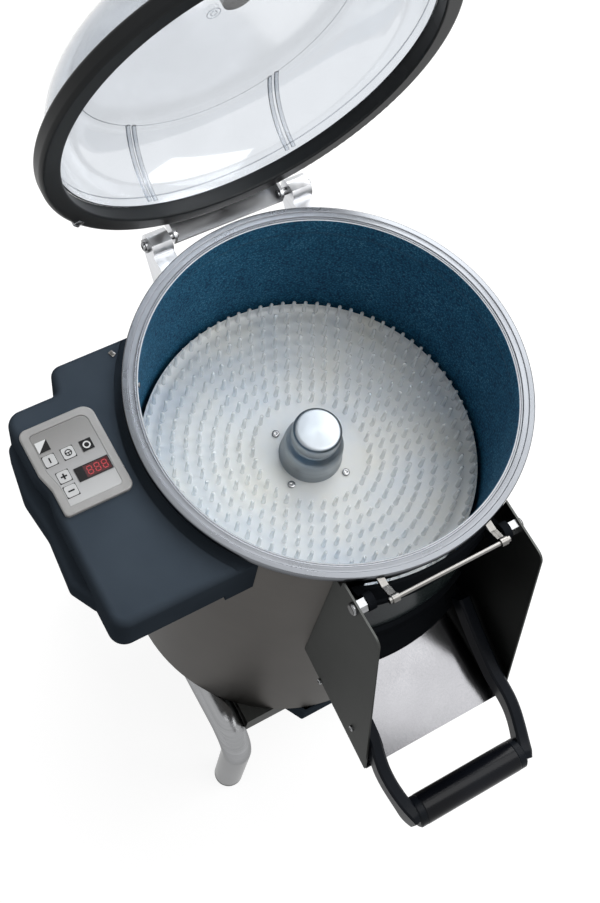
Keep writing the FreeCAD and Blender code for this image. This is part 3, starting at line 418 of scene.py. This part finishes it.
def make_piece(shape, name, slot, body, finish=None, smooth_below=35):
    """Turns a bmesh into a finished piece that moves with a body."""
    bmesh.ops.remove_doubles(shape, verts=shape.verts, dist=1e-6)
    bmesh.ops.recalc_face_normals(shape, faces=shape.faces)
    mesh = bpy.data.meshes.new(name)
    shape.to_mesh(mesh)
    shape.free()
    mesh.shade_smooth()
    mesh.set_sharp_from_angle(angle=math.radians(smooth_below))
    mesh.materials.append(finishes[finish or slot])
    piece = bpy.data.objects.new(name, mesh)
    bpy.context.scene.collection.objects.link(piece)
    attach(piece, body)
    print(name, len(mesh.polygons), "faces")
    return piece


def turned(shape, outline, centre, steps=24, axis=(0, 0, 1)):
    """Spins an outline of (radius, height) points round an axis through centre."""
    toward = Vector(axis).normalized()
    side = toward.orthogonal().normalized()
    dots = [shape.verts.new(Vector(centre) + radius * side + height * toward) for radius, height in outline]
    lines = [shape.edges.new(pair) for pair in zip(dots, dots[1:])]
    bmesh.ops.spin(shape, geom=dots + lines, cent=centre, axis=toward, angle=math.tau, steps=steps,
                   use_merge=True)


# %% [markdown]
# ## The nubs on the turning disc
#
# The disc's top is covered with nine rings of soft slim pegs that roll the mussels about. Each
# ring has six pegs more than the one inside it, so the pegs also stand in curved rows, and the
# pegs of the last ring stand closer together. One peg is spun from its outline. A second spin
# round the drum's axis, which copies instead of sweeping, makes a ring of them.

# %% Make the nubs
NUB_HEIGHT = 19.0 * MM
NUB_FOOT = 2.7 * MM
NUB_TIP = 2.1 * MM
NUB_FIRST_RING = 63.2 * MM
NUB_RING_STEP = 14.1 * MM
NUB_RINGS = (30, 36, 42, 48, 54, 60, 66, 72, 86)


def add_nub(shape, centre):
    before = set(shape.verts)
    outline = [(NUB_FOOT, 0), (NUB_FOOT * 0.8, NUB_HEIGHT * 0.5), (NUB_TIP, NUB_HEIGHT * 0.94),
               (0, NUB_HEIGHT)]
    turned(shape, outline, centre, steps=8)
    fresh = [corner for corner in shape.verts if corner not in before]
    bmesh.ops.remove_doubles(shape, verts=fresh, dist=1e-6)
    return [corner for corner in shape.verts if corner not in before]


def make_nubs():
    shape = bmesh.new()
    for ring, count in enumerate(NUB_RINGS):
        radius = NUB_FIRST_RING + ring * NUB_RING_STEP
        corners = add_nub(shape, drum_axis + Vector((radius, 0, disc_top)))
        faces = {face for corner in corners for face in corner.link_faces}
        edges = {edge for corner in corners for edge in corner.link_edges}
        around = math.tau * (count - 1) / count
        bmesh.ops.spin(shape, geom=corners + list(edges) + list(faces), cent=drum_axis, axis=(0, 0, 1),
                       angle=around, steps=count - 1, use_duplicate=True)
    print("nubs", sum(NUB_RINGS), "in", len(NUB_RINGS), "rings")
    return make_piece(shape, "disc_nubs", "disc_white", "disc", "nub_white_painted_light", smooth_below=60)


make_nubs()

# %% [markdown]
# ## The rim, the lining's raw edge and the hub
#
# The cast rim has two flat bands, the inner one a little lower, and a land inside them. Its
# outer wall is short, and the drum's neck shows below it. The lining's cut edge shows white, and
# the disc has a raised lip. The hub is spun steel: a cap with a round edge, a neck and a swelling
# foot. All are turned shapes, so each is an outline of radius and height, in millimetres from the
# drum's axis and the rim's top, that is spun once round that axis.

# %% Make the rim, the lining's edge and the hub
RIM_OUTLINE = [(186.4, -8), (198.8, -8), (199.7, -7.6), (200, -6.8), (200, -2), (199.8, -1), (199.4, -0.3),
               (198.8, 0), (198.6, 0), (194.6, 0), (194.4, 0), (193.8, -0.25), (193.4, -0.75), (193.2, -0.8),
               (188.8, -0.8), (188.6, -0.8), (188.1, -1.2), (187.9, -1.8), (187.7, -1.9), (186.4, -1.9)]
EDGE_OUTLINE = [(184.5, -3.2), (184.6, -2.4), (185.3, -2.1), (186.0, -2.4), (186.0, -3.2)]
NECK_OUTLINE = [(187, -22), (191.3, -22), (191.3, -8), (187, -8)]
DISC_LIP_OUTLINE = [(168, -165.95), (174, -165.6), (178.5, -164.4), (180.3, -162.4), (180.6, -161),
                    (181.3, -160.8), (181.7, -161.4), (181.7, -167)]
HUB_OUTLINE = [(0, -106), (20.5, -106), (22.5, -106.3), (24.4, -107.2), (25.7, -108.8), (26.2, -111),
               (26.2, -120.5), (25.9, -122.6), (25, -124.4), (24.7, -125.6), (25, -127), (26.2, -129),
               (29, -132.4), (31.2, -136.2), (32.2, -140.5), (32.6, -146), (32.6, -157), (33, -161),
               (34, -164.4), (34.4, -166)]


def make_turned(outline, name, slot, body, node=None, finish=None, steps=160, smooth_below=35):
    shape = bmesh.new()
    turned(shape, [(radius * MM, height * MM) for radius, height in outline], at(0, 0, 0), steps=steps)
    piece = make_piece(shape, name, slot, body, finish, smooth_below)
    if node:
        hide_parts(node)
    return piece


make_turned(RIM_OUTLINE + RIM_OUTLINE[:1], "rim_ring", "rim_aluminium", "frame", "drum_rim")
make_turned(NECK_OUTLINE + NECK_OUTLINE[:1], "rim_neck", "drum_steel", "frame")
make_turned(EDGE_OUTLINE, "lining_edge", "rim_aluminium", "frame", finish="raw_edge")
make_turned(DISC_LIP_OUTLINE, "disc_lip", "disc_white", "disc")
make_turned(HUB_OUTLINE, "hub_spun", "polished_steel", "disc", "hub_cap", finish="hub_steel", steps=64)

# %% [markdown]
# ## Screws and small fittings
#
# Screw heads are turned shapes with a round socket. Four hold the hub, two hold each cheek's
# lower end, and larger ones close the hinge. Each is spun at its place, facing its own way.

# %% Make the screws
SCREW = [(0, 0.9), (0.45, 0.9), (0.5, 1.0), (0.5, 2.2), (0.8, 2.2), (1.0, 1.7), (1.0, 0)]


def add_screw(shape, centre, radius, axis=(0, 0, 1), height=1.0):
    outline = [(r * radius * MM, h * height * MM) for r, h in SCREW]
    turned(shape, outline, centre, steps=24, axis=axis)


def make_screws(name, body, screws, slot="polished_steel"):
    """Screws given as (place, radius, direction) in one piece."""
    shape = bmesh.new()
    for centre, radius, axis in screws:
        add_screw(shape, centre, radius, axis)
    return make_piece(shape, name, slot, body)


HUB_SCREW_RING = 43
HUB_SCREW_START = 32
HUB_SCREW_FOOT = -166
CHEEK_OUTSIDE = 91
CHEEK_SCREWS = [(-267.3, -243.5), (-205, -262)]
HINGE_SCREW = (93, 211.6, -2)

hub_places = [round_axis(HUB_SCREW_RING, HUB_SCREW_START + 90 * i, HUB_SCREW_FOOT) for i in range(4)]
make_screws("hub_screws", "disc", [(place, 4.0, (0, 0, 1)) for place in hub_places])
for side, name in ((-1, "left_cheek_screws"), (1, "right_cheek_screws")):
    make_screws(name, "frame", [(at(side * CHEEK_OUTSIDE, y, z), 3.4, (side, 0, 0)) for y, z in CHEEK_SCREWS])
x, y, z = HINGE_SCREW
make_screws("hinge_screws", "frame", [(at(side * x, y, z), 4.5, (side, 0, 0)) for side in (-1, 1)])

# %% [markdown]
# ## Fittings on the lining, the box and the cheeks
#
# A small plate with a screw holds the lining's edge, and a clip sits on the control box behind
# the keypad. Both start as a small block with softened edges. Dark round caps, which are turned,
# cover the outer heads of the door's pivot bolts.

# %% Make the fittings


def block(shape, centre, size, turn=0.0):
    """A block about its centre, with a size in millimetres, turned round the upright axis."""
    made = bmesh.ops.create_cube(shape, size=1)["verts"]
    bmesh.ops.scale(shape, verts=made, vec=Vector(size) * MM)
    bmesh.ops.rotate(shape, verts=made, cent=(0, 0, 0), matrix=Matrix.Rotation(math.radians(turn), 3, "Z"))
    bmesh.ops.translate(shape, verts=made, vec=centre)
    return made


def soften(shape, corners, width):
    edges = list({edge for corner in corners for edge in corner.link_edges})
    bmesh.ops.bevel(shape, geom=edges, offset=width * MM, affect="EDGES", segments=2, profile=0.5,
                    material=-1)


def make_lining_bolt():
    shape = bmesh.new()
    plate = block(shape, round_axis(185.2, 154, -9), (1.2, 9, 11), 154)
    soften(shape, plate, 0.4)
    inward = (round_axis(0, 154, 0) - round_axis(1, 154, 0)).normalized()
    add_screw(shape, round_axis(184.6, 154, -9), 3.0, inward)
    return make_piece(shape, "lining_bolt", "polished_steel", "frame")


def make_box_clip():
    shape = bmesh.new()
    soften(shape, block(shape, at(-170.2, 126.6, -19.4), (5, 6.5, 1.6), 20), 0.5)
    soften(shape, block(shape, at(-169.4, 126.2, -18.2), (1.6, 4, 1.4), 20), 0.3)
    return make_piece(shape, "box_clip", "polished_steel", "frame", "bar_steel")


CAP_RADIUS = 6.3 * MM
CAP_OVERLAP = 3.2 * MM
CAP_OUTLINE = [(CAP_RADIUS, 0), (CAP_RADIUS, 2.2 * MM), (0.8 * CAP_RADIUS, 3.4 * MM), (0, 3.8 * MM)]


def make_pivot_caps():
    """Dark round caps over the pivot bolts' outer heads."""
    shape = bmesh.new()
    low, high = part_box("left_pivot_bolt")
    middle = (low + high) / 2
    reach = drum_axis.x - low.x - CAP_OVERLAP
    for side in (-1, 1):
        outer = Vector((drum_axis.x + side * reach, middle.y, middle.z))
        turned(shape, CAP_OUTLINE, outer, steps=32, axis=(side, 0, 0))
    return make_piece(shape, "pivot_caps", "polished_steel", "frame", "dark_steel")


make_lining_bolt()
make_box_clip()
make_pivot_caps()

# %% [markdown]
# ## Signs and display on the keypad
#
# The keys carry plain signs: a bar, a wheel, a ring, plus and minus, and one key split into a
# light and a dark half. They are thin raised prints. The bar, wheel, plus and minus keys also
# have a fine dark outline. The display has a black surround, and three red digits stand on its right two thirds.

# %% Make the signs
SIGN_RISE = 0.12
key_top = (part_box("panel_keys")[1].z - rim_top) / MM
KEYS = {"split": (-271, 65), "bar": (-271, 49.4), "wheel": (-252.6, 49.4), "stop": (-234.2, 49.4),
        "plus": (-266.5, 29.4), "minus": (-266.5, 13.8)}
KEY_HALF = 5.75


def print_flat(shape, points, height=SIGN_RISE, base=None):
    """A flat print through (x, y) points in millimetres, raised a little from the key's top."""
    low = key_top if base is None else base
    face = shape.faces.new([shape.verts.new(at(x, y, low)) for x, y in points])
    made = bmesh.ops.extrude_face_region(shape, geom=[face])
    top = [item for item in made["geom"] if isinstance(item, bmesh.types.BMVert)]
    bmesh.ops.translate(shape, verts=top, vec=(0, 0, height * MM))


def print_bar(shape, x, y, across, along, **more):
    w, h = across / 2, along / 2
    print_flat(shape, [(x - w, y - h), (x + w, y - h), (x + w, y + h), (x - w, y + h)], **more)


def print_ring(shape, x, y, outer, inner, **more):
    """A flat ring made of short pieces."""
    steps = 24
    for i in range(steps):
        corners = []
        for radius, step in ((inner, i), (outer, i), (outer, i + 1), (inner, i + 1)):
            turn = math.tau * step / steps
            corners.append((x + radius * math.cos(turn), y + radius * math.sin(turn)))
        print_flat(shape, corners, **more)


def make_black_signs():
    shape = bmesh.new()
    x, y = KEYS["split"]
    h = KEY_HALF
    print_flat(shape, [(x - h, y - h), (x + h, y - h), (x + h, y + h)])
    x, y = KEYS["bar"]
    print_bar(shape, x, y, 1.4, 5.6)
    x, y = KEYS["wheel"]
    print_ring(shape, x, y, 3.5, 2.5)
    print_bar(shape, x, y, 5.4, 1.0)
    print_bar(shape, x, y - 1.6, 1.0, 3.0, height=SIGN_RISE * 1.1)
    x, y = KEYS["stop"]
    print_bar(shape, x, y, 2 * h, 2 * h)
    x, y = KEYS["plus"]
    print_bar(shape, x, y, 6.2, 1.6)
    print_bar(shape, x, y, 1.6, 6.2, height=SIGN_RISE * 1.1)
    x, y = KEYS["minus"]
    print_bar(shape, x, y, 6.2, 1.6)
    return make_piece(shape, "key_signs_black", "key_film", "frame", "sign_black")


def make_white_signs():
    shape = bmesh.new()
    x, y = KEYS["stop"]
    print_ring(shape, x, y, 3.7, 2.4, height=2 * SIGN_RISE)
    x, y = KEYS["split"]
    h = KEY_HALF
    print_flat(shape, [(x - h, y - h), (x + h - 0.4, y + h), (x - h, y + h)], height=SIGN_RISE / 2)
    return make_piece(shape, "key_signs_white", "key_film", "frame", "sign_white")


def make_key_outlines():
    shape = bmesh.new()
    low = (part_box("keypad")[1].z - rim_top) / MM
    for name in ("bar", "wheel", "plus", "minus"):
        x, y = KEYS[name]
        print_bar(shape, x, y, 2 * KEY_HALF + 0.9, 2 * KEY_HALF + 0.9, height=0.3, base=low)
    return make_piece(shape, "key_outlines", "key_film", "frame", "sign_black")


def make_display_parts():
    low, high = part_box("panel_display")
    x0, y0, z0 = (low.x - drum_axis.x) / MM, (low.y - drum_axis.y) / MM, (low.z - rim_top) / MM
    x1, y1, z1 = (high.x - drum_axis.x) / MM, (high.y - drum_axis.y) / MM, (high.z - rim_top) / MM
    frame_piece = bmesh.new()
    edge = 1.0
    middle_x, middle_y = (x0 + x1) / 2, (y0 + y1) / 2
    for y in (y0, y1):
        print_bar(frame_piece, middle_x, y, x1 - x0 + edge, edge, height=z1 - z0 + 0.2, base=z0)
    for x in (x0, x1):
        print_bar(frame_piece, x, middle_y, edge, y1 - y0 + edge, height=z1 - z0 + 0.25, base=z0)
    print_bar(frame_piece, x0 + 4, middle_y, 8, y1 - y0, height=0.1, base=z1)
    make_piece(frame_piece, "display_frame", "display_red", "frame", "sign_black")
    digits = bmesh.new()
    for i in range(3):
        x = x0 + 13.0 + 7.4 * i
        for dy in (-4.0, 0.0, 4.0):
            print_bar(digits, x, middle_y + dy, 3.6, 0.9, base=z1)
        for dx in (-2.2, 2.2):
            for dy in (-2.0, 2.0):
                print_bar(digits, x + dx, middle_y + dy, 0.9, 3.0, base=z1)
    make_piece(digits, "display_digits", "display_red", "frame", "digit_red")


make_black_signs()
make_white_signs()
make_key_outlines()
make_display_parts()

# %% [markdown]
# ## The handle's arms
#
# The solid model's arms are simple crossed outlines. On the real handle each arm is a slim bar
# with softly cut corners that comes out between the cheeks, swings outwards past the chute's
# lip and curls in to the grip, where a collar holds the grip's end. A loft makes such a bar: a
# cross-section is set up at each station along a smooth path, and neighbours are bridged.

# %% Make the arms
ARM_STATIONS = [  # sideways, forward, height of the middle, width, depth
    (76.8, -204, -210, 14, 24), (76.8, -235, -227.5, 14, 25), (76.8, -265, -241, 14, 25),
    (76.9, -288, -250, 14, 24), (79.0, -303, -256.5, 14, 23), (80.6, -318, -262.5, 14, 22),
    (80.2, -332, -267.5, 14, 21), (78.2, -346, -273, 14, 21), (75.2, -360, -279, 14, 24),
    (71.9, -372, -284, 14, 30), (69.4, -381.5, -285.4, 12, 25)]
COLLAR_RADIUS = 17.2
COLLAR = [(0, 0), (COLLAR_RADIUS - 1, 0), (COLLAR_RADIUS, 1), (COLLAR_RADIUS, 8), (COLLAR_RADIUS - 2, 10), (0, 10)]
GRIP_END = (59.0, -371.5, -285)


def smooth_path(stops, between=4):
    """Numbers between stops, on a curve that passes through each of them."""
    padded = [stops[0]] + list(stops) + [stops[-1]]
    path = []
    for before, start, end, after in zip(padded, padded[1:], padded[2:], padded[3:]):
        for i in range(between):
            t = i / between
            path.append([0.5 * (2 * b + (c - a) * t + (2 * a - 5 * b + 4 * c - d) * t ** 2
                                + (3 * b - a - 3 * c + d) * t ** 3)
                         for a, b, c, d in zip(before, start, end, after)])
    return path + [list(stops[-1])]


def loft(shape, points, sections):
    """Sets a cross-section across the path at each point, bridges neighbours and closes the ends."""
    last = None
    first = None
    for i, (point, section) in enumerate(zip(points, sections)):
        toward = (points[min(i + 1, len(points) - 1)] - points[max(i - 1, 0)]).normalized()
        across = toward.cross((0, 0, 1)).normalized()
        upward = across.cross(toward)
        corners = [shape.verts.new(point + u * MM * across + v * MM * upward) for u, v in section]
        ring = [shape.edges.new(pair) for pair in zip(corners, corners[1:] + corners[:1])]
        if last:
            bmesh.ops.bridge_loops(shape, edges=last + ring)
        last = ring
        first = first or corners
    shape.faces.new(first)
    shape.faces.new(corners)


def cut_corner_box(width, depth, cut=2.4):
    """A box section with its corners cut."""
    w, d = width / 2, depth / 2
    return [(w - cut, d), (w, d - cut), (w, cut - d), (w - cut, -d),
            (cut - w, -d), (-w, cut - d), (-w, d - cut), (cut - w, d)]


def make_arm(side, name, node):
    shape = bmesh.new()
    stations = smooth_path(ARM_STATIONS)
    points = [at(side * x, y, z) for x, y, z, width, depth in stations]
    loft(shape, points, [cut_corner_box(width, depth) for x, y, z, width, depth in stations])
    outline = [(radius * MM, height * MM) for radius, height in COLLAR]
    x, y, z = GRIP_END
    turned(shape, outline, at(side * x, y, z), steps=40, axis=(side, 0, 0))
    piece = make_piece(shape, name, "handle_black", "door", smooth_below=30)
    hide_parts(node)
    return piece


make_arm(-1, "left_arm_bar", "left_handle_arm")
make_arm(1, "right_arm_bar", "right_handle_arm")

# %% [markdown]
# ## Lines moulded into the lid's dome
#
# The real dome is one clear moulding. Where its flat top turns into the round shoulder, light
# catches a thin line, and a second line follows its foot. Two pairs of ribs in line with the
# hinges stiffen it. All of them are drawn on the closed lid, round the drum's axis, and then
# turned with the lid about its hinge.

# %% Make the dome's lines and ribs
DOME_PROFILE = [(186.2, 21.0), (184.9, 30.4), (182.2, 39.5), (178.2, 48.0), (172.9, 55.9), (166.4, 62.9),
                (159.0, 68.8), (150.8, 73.6), (142.0, 77.0)]
DOME_FOOT = (186.2, 16.8)
DOME_TOP = (0, 77.0)
DOME_WALL = 1.6 * MM
RIB_PLACES = (-79.5, -73.0, 73.0, 79.5)
RIB_HALF_WIDTH = 2.5
RIB_HALF_DEPTH = 1.6


def open_with_lid(shape):
    """Turns corners drawn on the closed lid to the open lid."""
    hinge = joints["lid_hinge"]
    turn = Matrix.Rotation(-math.radians(hinge["range_deg"][1]), 3, "X")
    bmesh.ops.rotate(shape, verts=shape.verts, cent=Vector(hinge["pos_m"]), matrix=turn)


def make_dome():
    """A thin clear wall along the dome's profile, standing on the ring."""
    shape = bmesh.new()
    outline = [(radius * MM, height * MM) for radius, height in [DOME_FOOT] + DOME_PROFILE + [DOME_TOP]]
    turned(shape, outline, at(0, 0, 0), steps=128)
    bmesh.ops.remove_doubles(shape, verts=shape.verts, dist=1e-6)
    bmesh.ops.recalc_face_normals(shape, faces=shape.faces)
    bmesh.ops.solidify(shape, geom=shape.faces, thickness=DOME_WALL)
    open_with_lid(shape)
    piece = make_piece(shape, "clear_dome", "clear_lid", "lid", smooth_below=50)
    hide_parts("lid_dome")
    return piece


def small_ring(radius, height, thick):
    """The six-sided cross-section of a thin ring."""
    outline = []
    for i in range(7):
        turn = math.tau * i / 6
        outline.append(((radius + thick * math.cos(turn)) * MM, (height + thick * math.sin(turn)) * MM))
    return outline


def make_dome_lines():
    shape = bmesh.new()
    for radius, height, thick in ((141.5, 76.6, 0.45), (185.4, 25.5, 0.6)):
        turned(shape, small_ring(radius, height, thick), at(0, 0, 0), steps=96)
    open_with_lid(shape)
    return make_piece(shape, "dome_lines", "clear_lid", "lid", "clear_edge")


def make_dome_ribs():
    shape = bmesh.new()
    turns = [math.tau * i / 8 for i in range(8)]
    section = [(RIB_HALF_WIDTH * math.cos(turn), RIB_HALF_DEPTH * math.sin(turn)) for turn in turns]
    for x in RIB_PLACES:
        points = []
        for radius, height in DOME_PROFILE:
            reach = radius - 0.6
            points.append(at(x, math.sqrt(reach ** 2 - x ** 2), height - 0.5))
        loft(shape, points, [section] * len(points))
    open_with_lid(shape)
    return make_piece(shape, "dome_ribs", "clear_lid", "lid", "clear_edge", smooth_below=60)


def make_dome_mark():
    shape = bmesh.new()
    for radius in (6.5, 3.0):
        turned(shape, small_ring(radius, 0, 0.5), at(-10.3, -24, 73.6), steps=32)
    open_with_lid(shape)
    return make_piece(shape, "dome_mark", "clear_lid", "lid", "clear_edge")


def make_lid_clip():
    shape = bmesh.new()
    soften(shape, block(shape, round_axis(202.8, 146, 3.5), (2.4, 9, 8), 146), 0.6)
    soften(shape, block(shape, round_axis(199.5, 146, 0.6), (7, 9, 1.0), 146), 0.3)
    open_with_lid(shape)
    return make_piece(shape, "lid_clip", "polished_steel", "lid")


make_dome()
make_dome_lines()
make_dome_ribs()
make_dome_mark()
make_lid_clip()

# %% [markdown]
# ## Studio floor and light
#
# The picture has a white ground with a faint soft shadow. The floor is a pale disc. Rays that
# come from the camera, or off metal or through glass, see it glow a little, so that it reads as
# white, while its own matt part still shows the shadow. Two large soft lamps and a plain bright
# room light the machine.

# %% Set the floor and the lamps
FLOOR_RADIUS = 9.0
FLOOR_MATT = 0.26
FLOOR_GLOW = 0.86
ROOM_STRENGTH = 0.42


def seen_directly(tree):
    """1 for rays from the camera, off gloss or through glass, and 0 for the rest."""
    ray = tree.nodes.new("ShaderNodeLightPath")
    first = tree.nodes.new("ShaderNodeMath")
    first.operation = "MAXIMUM"
    tree.links.new(ray.outputs["Is Camera Ray"], first.inputs[0])
    tree.links.new(ray.outputs["Is Glossy Ray"], first.inputs[1])
    second = tree.nodes.new("ShaderNodeMath")
    second.operation = "MAXIMUM"
    tree.links.new(first.outputs[0], second.inputs[0])
    tree.links.new(ray.outputs["Is Transmission Ray"], second.inputs[1])
    return second.outputs[0]


def make_floor():
    shape = bmesh.new()
    bmesh.ops.create_circle(shape, cap_ends=True, segments=64, radius=FLOOR_RADIUS)
    mesh = bpy.data.meshes.new("studio_floor")
    shape.to_mesh(mesh)
    shape.free()
    finish = bpy.data.materials.new("studio_floor")
    finish.use_nodes = True
    tree = finish.node_tree
    tree.nodes.remove(tree.nodes["Principled BSDF"])
    matt = add_node(finish, "BsdfDiffuse", Color=(FLOOR_MATT, FLOOR_MATT, FLOOR_MATT, 1))
    glow = add_node(finish, "Emission")
    strength = tree.nodes.new("ShaderNodeMath")
    strength.operation = "MULTIPLY"
    strength.inputs[1].default_value = FLOOR_GLOW
    join(finish, seen_directly(tree), strength.inputs[0])
    join(finish, strength.outputs[0], glow.inputs["Strength"])
    total = add_node(finish, "AddShader")
    join(finish, matt.outputs["BSDF"], total.inputs[0])
    join(finish, glow.outputs["Emission"], total.inputs[1])
    join(finish, total.outputs["Shader"], tree.nodes["Material Output"].inputs["Surface"])
    mesh.materials.append(finish)
    floor = bpy.data.objects.new("studio_floor", mesh)
    bpy.context.scene.collection.objects.link(floor)


def make_room():
    world = bpy.data.worlds.new("studio_room")
    bpy.context.scene.world = world
    world.use_nodes = True
    tree = world.node_tree
    background = tree.nodes["Background"]
    background.inputs["Color"].default_value = (1, 1, 1, 1)
    strength = tree.nodes.new("ShaderNodeMapRange")
    strength.inputs["To Min"].default_value = ROOM_STRENGTH
    strength.inputs["To Max"].default_value = 1.0
    tree.links.new(seen_directly(tree), strength.inputs["Value"])
    tree.links.new(strength.outputs["Result"], background.inputs["Strength"])


def add_lamp(name, away, shape, size, power):
    """A soft lamp of a given width and height that points at the drum from an offset in metres."""
    data = bpy.data.lights.new(name, "AREA")
    data.shape = shape
    data.size, data.size_y = size
    data.energy = power
    lamp = bpy.data.objects.new(name, data)
    bpy.context.scene.collection.objects.link(lamp)
    aim = drum_axis + Vector((0, 0, rim_top * 0.7))
    lamp.location = aim + Vector(away)
    lamp.rotation_euler = (aim - lamp.location).to_track_quat("-Z", "Y").to_euler()


make_floor()
make_room()
add_lamp("main_lamp", (1.16, 1.16, 1.69), "ELLIPSE", (1.5, 1.5), 30.0)
add_lamp("window_lamp", (0.98, -0.5, 1.8), "RECTANGLE", (1.4, 2.2), 30.0)
bpy.context.scene.view_settings.view_transform = "Standard"
print("lamps", [lamp.name for lamp in bpy.data.lights])
